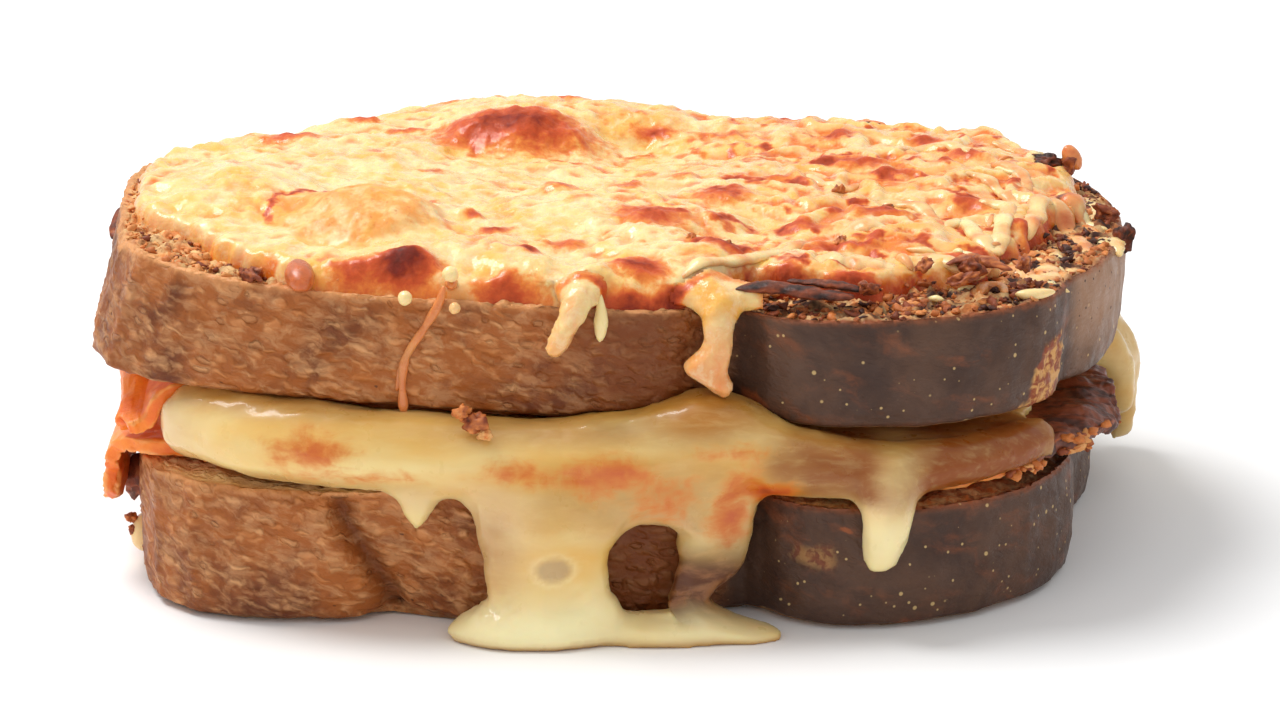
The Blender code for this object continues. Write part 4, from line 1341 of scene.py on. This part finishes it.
ballShape = bmesh.new()
bmesh.ops.create_icosphere(ballShape, subdivisions=2, radius=1.0)
ballPlaces = np.array([v.co[:] for v in ballShape.verts])
ballFaces = [tuple(v.index for v in face.verts) for face in ballShape.faces]
bmesh.ops.subdivide_edges(ballShape, edges=ballShape.edges, cuts=2, use_grid_fill=True)
finePlaces = np.array([v.co.normalized()[:] for v in ballShape.verts])
fineFaces = [tuple(v.index for v in face.verts) for face in ballShape.faces]
ballShape.free()


def lump(centre, size, rng, rough=0.45, fine=False):
    # an uneven crumb; size is one number or three
    base, faces = (finePlaces, fineFaces) if fine else (ballPlaces, ballFaces)
    seed = rng.uniform(0, 90)
    bumps = rough * cloud(base, 0.9, 2 if fine else 1, seed) + 0.5 * rough * cloud(base, 0.4, 1, seed)
    shape = base * (1 + bumps)[:, None]
    turn = Euler((rng.uniform(-0.5, 0.5), rng.uniform(-0.5, 0.5), rng.uniform(0, 6.28))).to_matrix()
    turned = (shape * np.asarray(size)) @ np.array(turn).T
    return turned + np.asarray(centre), faces


shreds = {
    "name": "cheeseShreds",
    # strands that lie on the gratin: thickness, tone, points
    "noodles": [
        (1.0, 0.12, [(43, -15), (46, -12), (48, -18), (50, -22), (52, -12), (53, -6), (50, -4), (48, -5)]),
        (1.35, 0.3,
         [(38, -28), (43, -33), (46, -33), (49, -26), (53, -25), (55, -29), (57, -28), (57, -19)]),
        (0.9, 0.25, [(47, 9), (50, 8), (53, 3), (55, -5)]),
        (1.2, 0.26, [(55, -15), (58, -3), (61, -2), (63, -9), (64, -16)]),
        (0.7, 0.12, [(59, -10), (59, -20), (59, -28)]), (1.1, 0.42, [(59, 4), (62, 3), (65, -1), (66, -6)]),
        (1.15, 0.05, [(64, 8), (66, 13), (67, 8), (66, 3)]), (1.3, 0.1, [(65, -10), (68, -7), (68.6, -12)]),
        (1.1, 0.1, [(65, 0), (67.5, -4)]), (1.0, 0.06, [(56.5, -27), (57, -31), (59.5, -31.5)]),
        (1.0, 0.12, [(5, -44), (12, -38), (18, -32), (22, -26), (27, -23)]),
        (2.6, 0.14, [(21, -36), (27, -34), (33, -34), (38, -35)]),
        (1.8, 0.1, [(27, -20), (33, -19), (36, -22)]), (1.0, 0.3, [(30, -5), (35, -2), (40, -4), (43, -9)]),
        (0.9, 0.2, [(38, 22), (42, 27), (47, 26), (50, 20)]), (0.9, 0.3, [(52, 18), (56, 10), (57, 4)]),
        (0.8, 0.2, [(24, 10), (29, 4), (33, 6)]), (0.8, 0.3, [(60, 20), (58, 26), (53, 30)]),
        (1.2, 0.5, [(63, 18), (65, 19.5), (66.5, 22)]),
    ],
    # short grated bits that lie on the far end and its rim
    "grated": {"count": 16, "seed": 5, "x": 12, "y": 2, "wide": 57, "deep": 50},
    # pieces that rest loose on the crumb: thickness, tone, points
    "loose": [
        (0.8, 0.5, [(46.6, -38), (47.4, -34.4), (49.6, -34.2), (50.2, -37.4)]),
        (1.1, 0.12, [(51.4, -38.2), (54, -38), (57, -36.8)]), (1.3, 0.02, [(39.4, -41), (41.4, -41.8)]),
    ],
    # strings on the front of the top slice: thickness, tone, points as x and height
    "strings": [
        (0.6, 0.62, [(-26.0, 48.2), (-26.8, 45.6), (-29, 42), (-31.2, 38.5), (-31.8, 35), (-31.7, 29.6)]),
        (0.4, 0.66, [(-30.2, 40.4), (-31.9, 37), (-32.6, 33.4)]),
        (0.8, 0.62, [(-25, 48.0), (-27, 47.4), (-29.5, 47.2)]),
        (0.95, 0.02, [(-5.2, 47.2), (-5.0, 44), (-5.2, 40.6)]),
    ],
    # drops and beads: place, size, tone
    "drops": [
        ((-31.2, -49.4, 46.8), 1.0, 0.08), ((-25.2, -47.6, 49.6), 1.1, 0.05),
        ((-24.6, -49.4, 45.4), 0.8, 0.3), ((-70.4, -22, 4.6), (2.2, 2.6, 2.8), 0.2),
        ((-45.4, -47.3, 49.3), (3.6, 2.1, 1.7), 0.77),
        ((64.6, 18, groundAt(64, 18) + 2.0), (1.4, 1.3, 2.0), 0.6),
    ],
}


def makeShreds(look):
    heap, spacing = Heap(), 0.35
    grated = look["grated"]
    rng = random.Random(grated["seed"])
    for k, (thick, tone, points) in enumerate(look["noodles"]):
        line = smoothLine([(x, y, 0) for x, y in points], spacing)
        line[:, 2] = [groundAt(x, y) for x, y in line[:, :2]]
        even = np.convolve(np.pad(line[:, 2], 3, mode="edge"), np.ones(7) / 7, mode="valid")
        line[:, 2] = even - thick * 0.2
        # both ends sink away into what they lie on
        order = np.arange(len(line))
        toEnd = np.minimum(order, order[::-1]) * spacing / (2.5 * thick)
        line[:, 2] -= thick * 0.7 * np.clip(1 - toEnd, 0, 1) ** 2
        places, faces = strand(line, thick * 1.35, 0.55, seed=k * 1.7)
        heap.add(places, faces, tone + 0.12 + 0.4 * cloud(places, 3.2, 2, 30 + k))
    for k in range(grated["count"]):
        a = rng.uniform(-1.25, 0.75)
        r = rng.uniform(0.72, 0.98)
        x = grated["x"] + math.cos(a) * grated["wide"] * r
        y = grated["y"] + math.sin(a) * grated["deep"] * r
        turn, length = rng.uniform(0, 6.28), rng.uniform(2.5, 6)
        bend = rng.uniform(-0.5, 0.5)
        points = [(x, y)]
        for _ in range(3):
            turn += bend
            x, y = x + math.cos(turn) * length / 3, y + math.sin(turn) * length / 3
            points.append((x, y))
        if min(readAt(rimDepth, px, py) for px, py in points) < 1:
            continue
        thick = rng.uniform(0.5, 0.9)
        line = smoothLine([(px, py, groundAt(px, py) + thick * 0.1) for px, py in points], spacing)
        places, faces = strand(line, thick, 0.85, seed=50 + k)
        heap.add(places, faces, rng.choice([0.08, 0.2, 0.35, 0.5]) + 0.25 * cloud(places, 2.5, 2, 60 + k))
    for k, (thick, tone, points) in enumerate(look["loose"]):
        line = smoothLine([(x, y, groundAt(x, y) + 0.6 * thick) for x, y in points], 0.3)
        places, faces = strand(line, thick, 0.8, seed=90 + k)
        heap.add(places, faces, tone)
    for k, (thick, tone, points) in enumerate(look["strings"]):
        line = smoothLine([(x, frontOf(topWrap.tree, x, z, -48) - thick * 0.35, z) for x, z in points], 0.3)
        places, faces = strand(line, thick, 0.9, (0, 1, 0), seed=80 + k)
        heap.add(places, faces, tone)
    for centre, size, tone in look["drops"]:
        places, faces = lump(centre, size, rng, 0.08, fine=True)
        heap.add(places, faces, tone)
    return heap.finish(look["name"], shredSkin, "gratin_cheese")


makeShreds(shreds)

crumbs = {
    "name": "toastedCrumbs", "seed": 9,
    # crumbs on the open rim: how many, the largest size, the tones they are drawn from
    "left": {"count": 190, "size": 0.4, "tones": [0.1, 0.2, 0.25, 0.3, 0.4, 0.65]},
    "right": {"count": 1450, "size": 0.55, "tones": [0.25, 0.4, 0.5, 0.6, 0.7, 0.85]},
    # torn bits along the ham's far edge
    "fringe": {"count": 110, "tones": [0.12, 0.3, 0.35, 0.45, 0.6]},
    # bigger browned bits: place, size, tone
    "bits": [
        ((-70.6, -17, 48.4), (1.1, 1.6, 1.5), 0.6), ((-61, -37, 47.6), (1.5, 1.1, 1.0), 0.8),
        ((-56, -42, 47.2), (1.6, 1.2, 1.1), 0.82), ((-65, -34.5, 48.0), (1.1, 0.9, 0.8), 0.72),
        ((-52.5, -43, 48.2), (3.2, 1.3, 1.1), 0.6), ((12, -29, 48.4), (1.6, 1.3, 0.8), 0.55),
        ((35, -8, 48.2), (1.8, 1.3, 0.7), 0.5), ((7, -30, 49.2), (0.8, 0.7, 1.3), 0.32),
        ((29, 0, 49.0), (0.7, 0.6, 1.1), 0.42), ((28, -25, 48.2), (1.1, 0.7, 0.6), 0.4),
        ((39, -36, 47.8), (1.3, 0.9, 0.7), 0.5), ((45.6, -36, 47.4), (1.8, 1.2, 1.2), 0.62),
        ((44, -40, 46.8), (1.8, 1.2, 0.8), 0.55), ((31, -44, 46.6), (2.2, 1.2, 0.9), 0.6),
        ((53, -32, 46.8), (1.6, 1.3, 1.0), 0.55), ((61, 19, groundAt(61, 19) + 0.5), (2.4, 1.6, 1.0), 0.85),
        ((32, -52.6, 21.4), (1.2, 0.6, 0.9), 0.35),
        ((64, 18, groundAt(64, 18) + 0.6), (1.8, 1.6, 1.3), 0.6), ((68.4, 2, 45.2), (1.1, 1.8, 1.2), 0.6),
        ((69.6, -6, 43.4), (0.8, 1.6, 2.2), 0.78), ((-22, -53.6, 30.6), (1.7, 0.9, 1.4), 0.5),
        ((-20.6, -53.9, 29.2), (1.2, 0.8, 0.8), 0.05), ((-23.6, -53.4, 32.0), (1.1, 0.7, 0.9), 0.35),
        ((-72.4, -22, 6.6), (0.8, 0.9, 0.8), 0.5), ((-72.2, -23, 5.2), (0.5, 0.6, 0.6), 0.55),
        ((-70.8, -17, 11.6), (1.5, 3.0, 4.2), 0.66),
    ],
    # dark curled shreds: thickness, tone, points
    "ribbons": [
        (1.7, 0.78, [(13, -45.6, 47.0), (18, -44.6, 47.0), (23, -45.4, 46.4), (29, -46.4, 46.0)]),
        (1.3, 0.76, [(20, -42.8, 47.4), (26, -43.2, 47.0), (31, -44.6, 46.4)]),
        (1.2, 0.52, [(42, -35, 47.6), (46, -34, 48.2), (51, -37, 47.2)]),
        (1.3, 0.72, [(-72.6, -17, 45.0), (-73.8, -14, 46.6), (-73.6, -12, 49.0), (-72.0, -11, 50.0)]),
    ],
}


def makeCrumbs(look):
    heap = Heap()
    rng = random.Random(look["seed"])
    made = {"left": 0, "right": 0}
    for _ in range(60000):
        x, y = rng.uniform(-76, 72), rng.uniform(-54, 56)
        kind = "left" if x < -40 else "right"
        if made[kind] >= look[kind]["count"] or -40 < x < 10:
            continue
        if readAt(rimDepth, x, y) < 0.7 or readAt(sheetInside, x, y) > 0.4 or (kind == "left" and y > 0):
            continue
        size = 0.16 + look[kind]["size"] * rng.random() ** 3
        stretch = (size * rng.uniform(0.8, 2.0), size, size * rng.uniform(0.5, 0.9))
        tone = rng.choice(look[kind]["tones"])
        places, faces = lump((x, y, groundAt(x, y) + size * 0.35), stretch, rng, 0.9)
        heap.add(places, faces, tone)
        made[kind] += 1
    for k, (centre, size, tone) in enumerate(look["bits"]):
        places, faces = lump(centre, size, rng, 0.7, fine=True)
        heap.add(places, faces, tone + 0.3 * cloud(places, 0.9, 2, 150 + k))
    for _ in range(look["fringe"]["count"]):
        x, y, z = hamFringe[rng.randrange(len(hamFringe))]
        size = rng.uniform(0.3, 0.8)
        centre = [middle + rng.uniform(-0.4, 0.4) for middle in (x, y, z)]
        places, faces = lump(centre, (size * 1.5, size, size * 0.8), rng, 0.7)
        heap.add(places, faces, rng.choice(look["fringe"]["tones"]))
    for k, (thick, tone, points) in enumerate(look["ribbons"]):
        places, faces = strand(smoothLine(points, 0.3), thick, 0.45, seed=120 + k)
        places = places + 0.16 * cloud(places, 1.2, 2, 130 + k)[:, None]
        heap.add(places, faces, tone + 0.3 * cloud(places * np.array([0.3, 1, 1]), 0.9, 3, 140 + k))
    return heap.finish(look["name"], crumbSkin, "crust_top")


makeCrumbs(crumbs)
print("shreds and crumbs made")


# stage, light and camera

stageLook = {
    "floor": shade(250, 250, 250), "floorTint": shade(247, 247, 247), "floorSide": 4000, "fill": 0.75,
    # sizes and places of light and camera are in metres
    "key": {"place": (-0.42, 0.16, 0.86), "target": (0, 0, 0.03), "size": 0.5, "power": 7.2},
    "camera": {"lens": 116, "distance": 0.6, "tilt": 16.5, "target": (0.0002, -0.0049, 0.025)},
}


def makeStage(look):
    finish, w, shader, spot = startMaterial("pale floor", Roughness=0.85)
    w.link(w.mix(w.noise(spot, 30.0, 2.0), look["floor"], look["floorTint"]), shader.inputs["Base Color"])
    side = look["floorSide"]
    corners = [(-side, -side, 0), (side, -side, 0), (side, side, 0), (-side, side, 0)]
    floor = makePiece("floor", corners, [(0, 1, 2, 3)], finish)
    world = bpy.data.worlds.new("studio")
    world.use_nodes = True
    background = world.node_tree.nodes["Background"]
    background.inputs["Color"].default_value = (1.0, 1.0, 1.0, 1.0)
    background.inputs["Strength"].default_value = look["fill"]
    bpy.context.scene.world = world


def makeLamp(name, look):
    data = bpy.data.lights.new(name, "AREA")
    data.shape = "DISK"
    data.size = look["size"]
    data.energy = look["power"]
    lamp = bpy.data.objects.new(name, data)
    bpy.context.scene.collection.objects.link(lamp)
    lamp.location = look["place"]
    away = Vector(look["target"]) - Vector(look["place"])
    lamp.rotation_euler = away.to_track_quat("-Z", "Y").to_euler()


def makeCamera(look):
    # a long lens a little above level
    tilt = math.radians(look["tilt"])
    data = bpy.data.cameras.new("camera")
    data.lens = look["lens"]
    data.clip_end = 20
    camera = bpy.data.objects.new("camera", data)
    bpy.context.scene.collection.objects.link(camera)
    back = Vector((0, -math.cos(tilt), math.sin(tilt)))
    camera.location = Vector(look["target"]) + back * look["distance"]
    camera.rotation_euler = (math.pi / 2 - tilt, 0, 0)
    bpy.context.scene.camera = camera


makeStage(stageLook)
makeLamp("key", stageLook["key"])
makeCamera(stageLook["camera"])
bpy.context.scene.view_settings.view_transform = "Standard"
print("stage set")
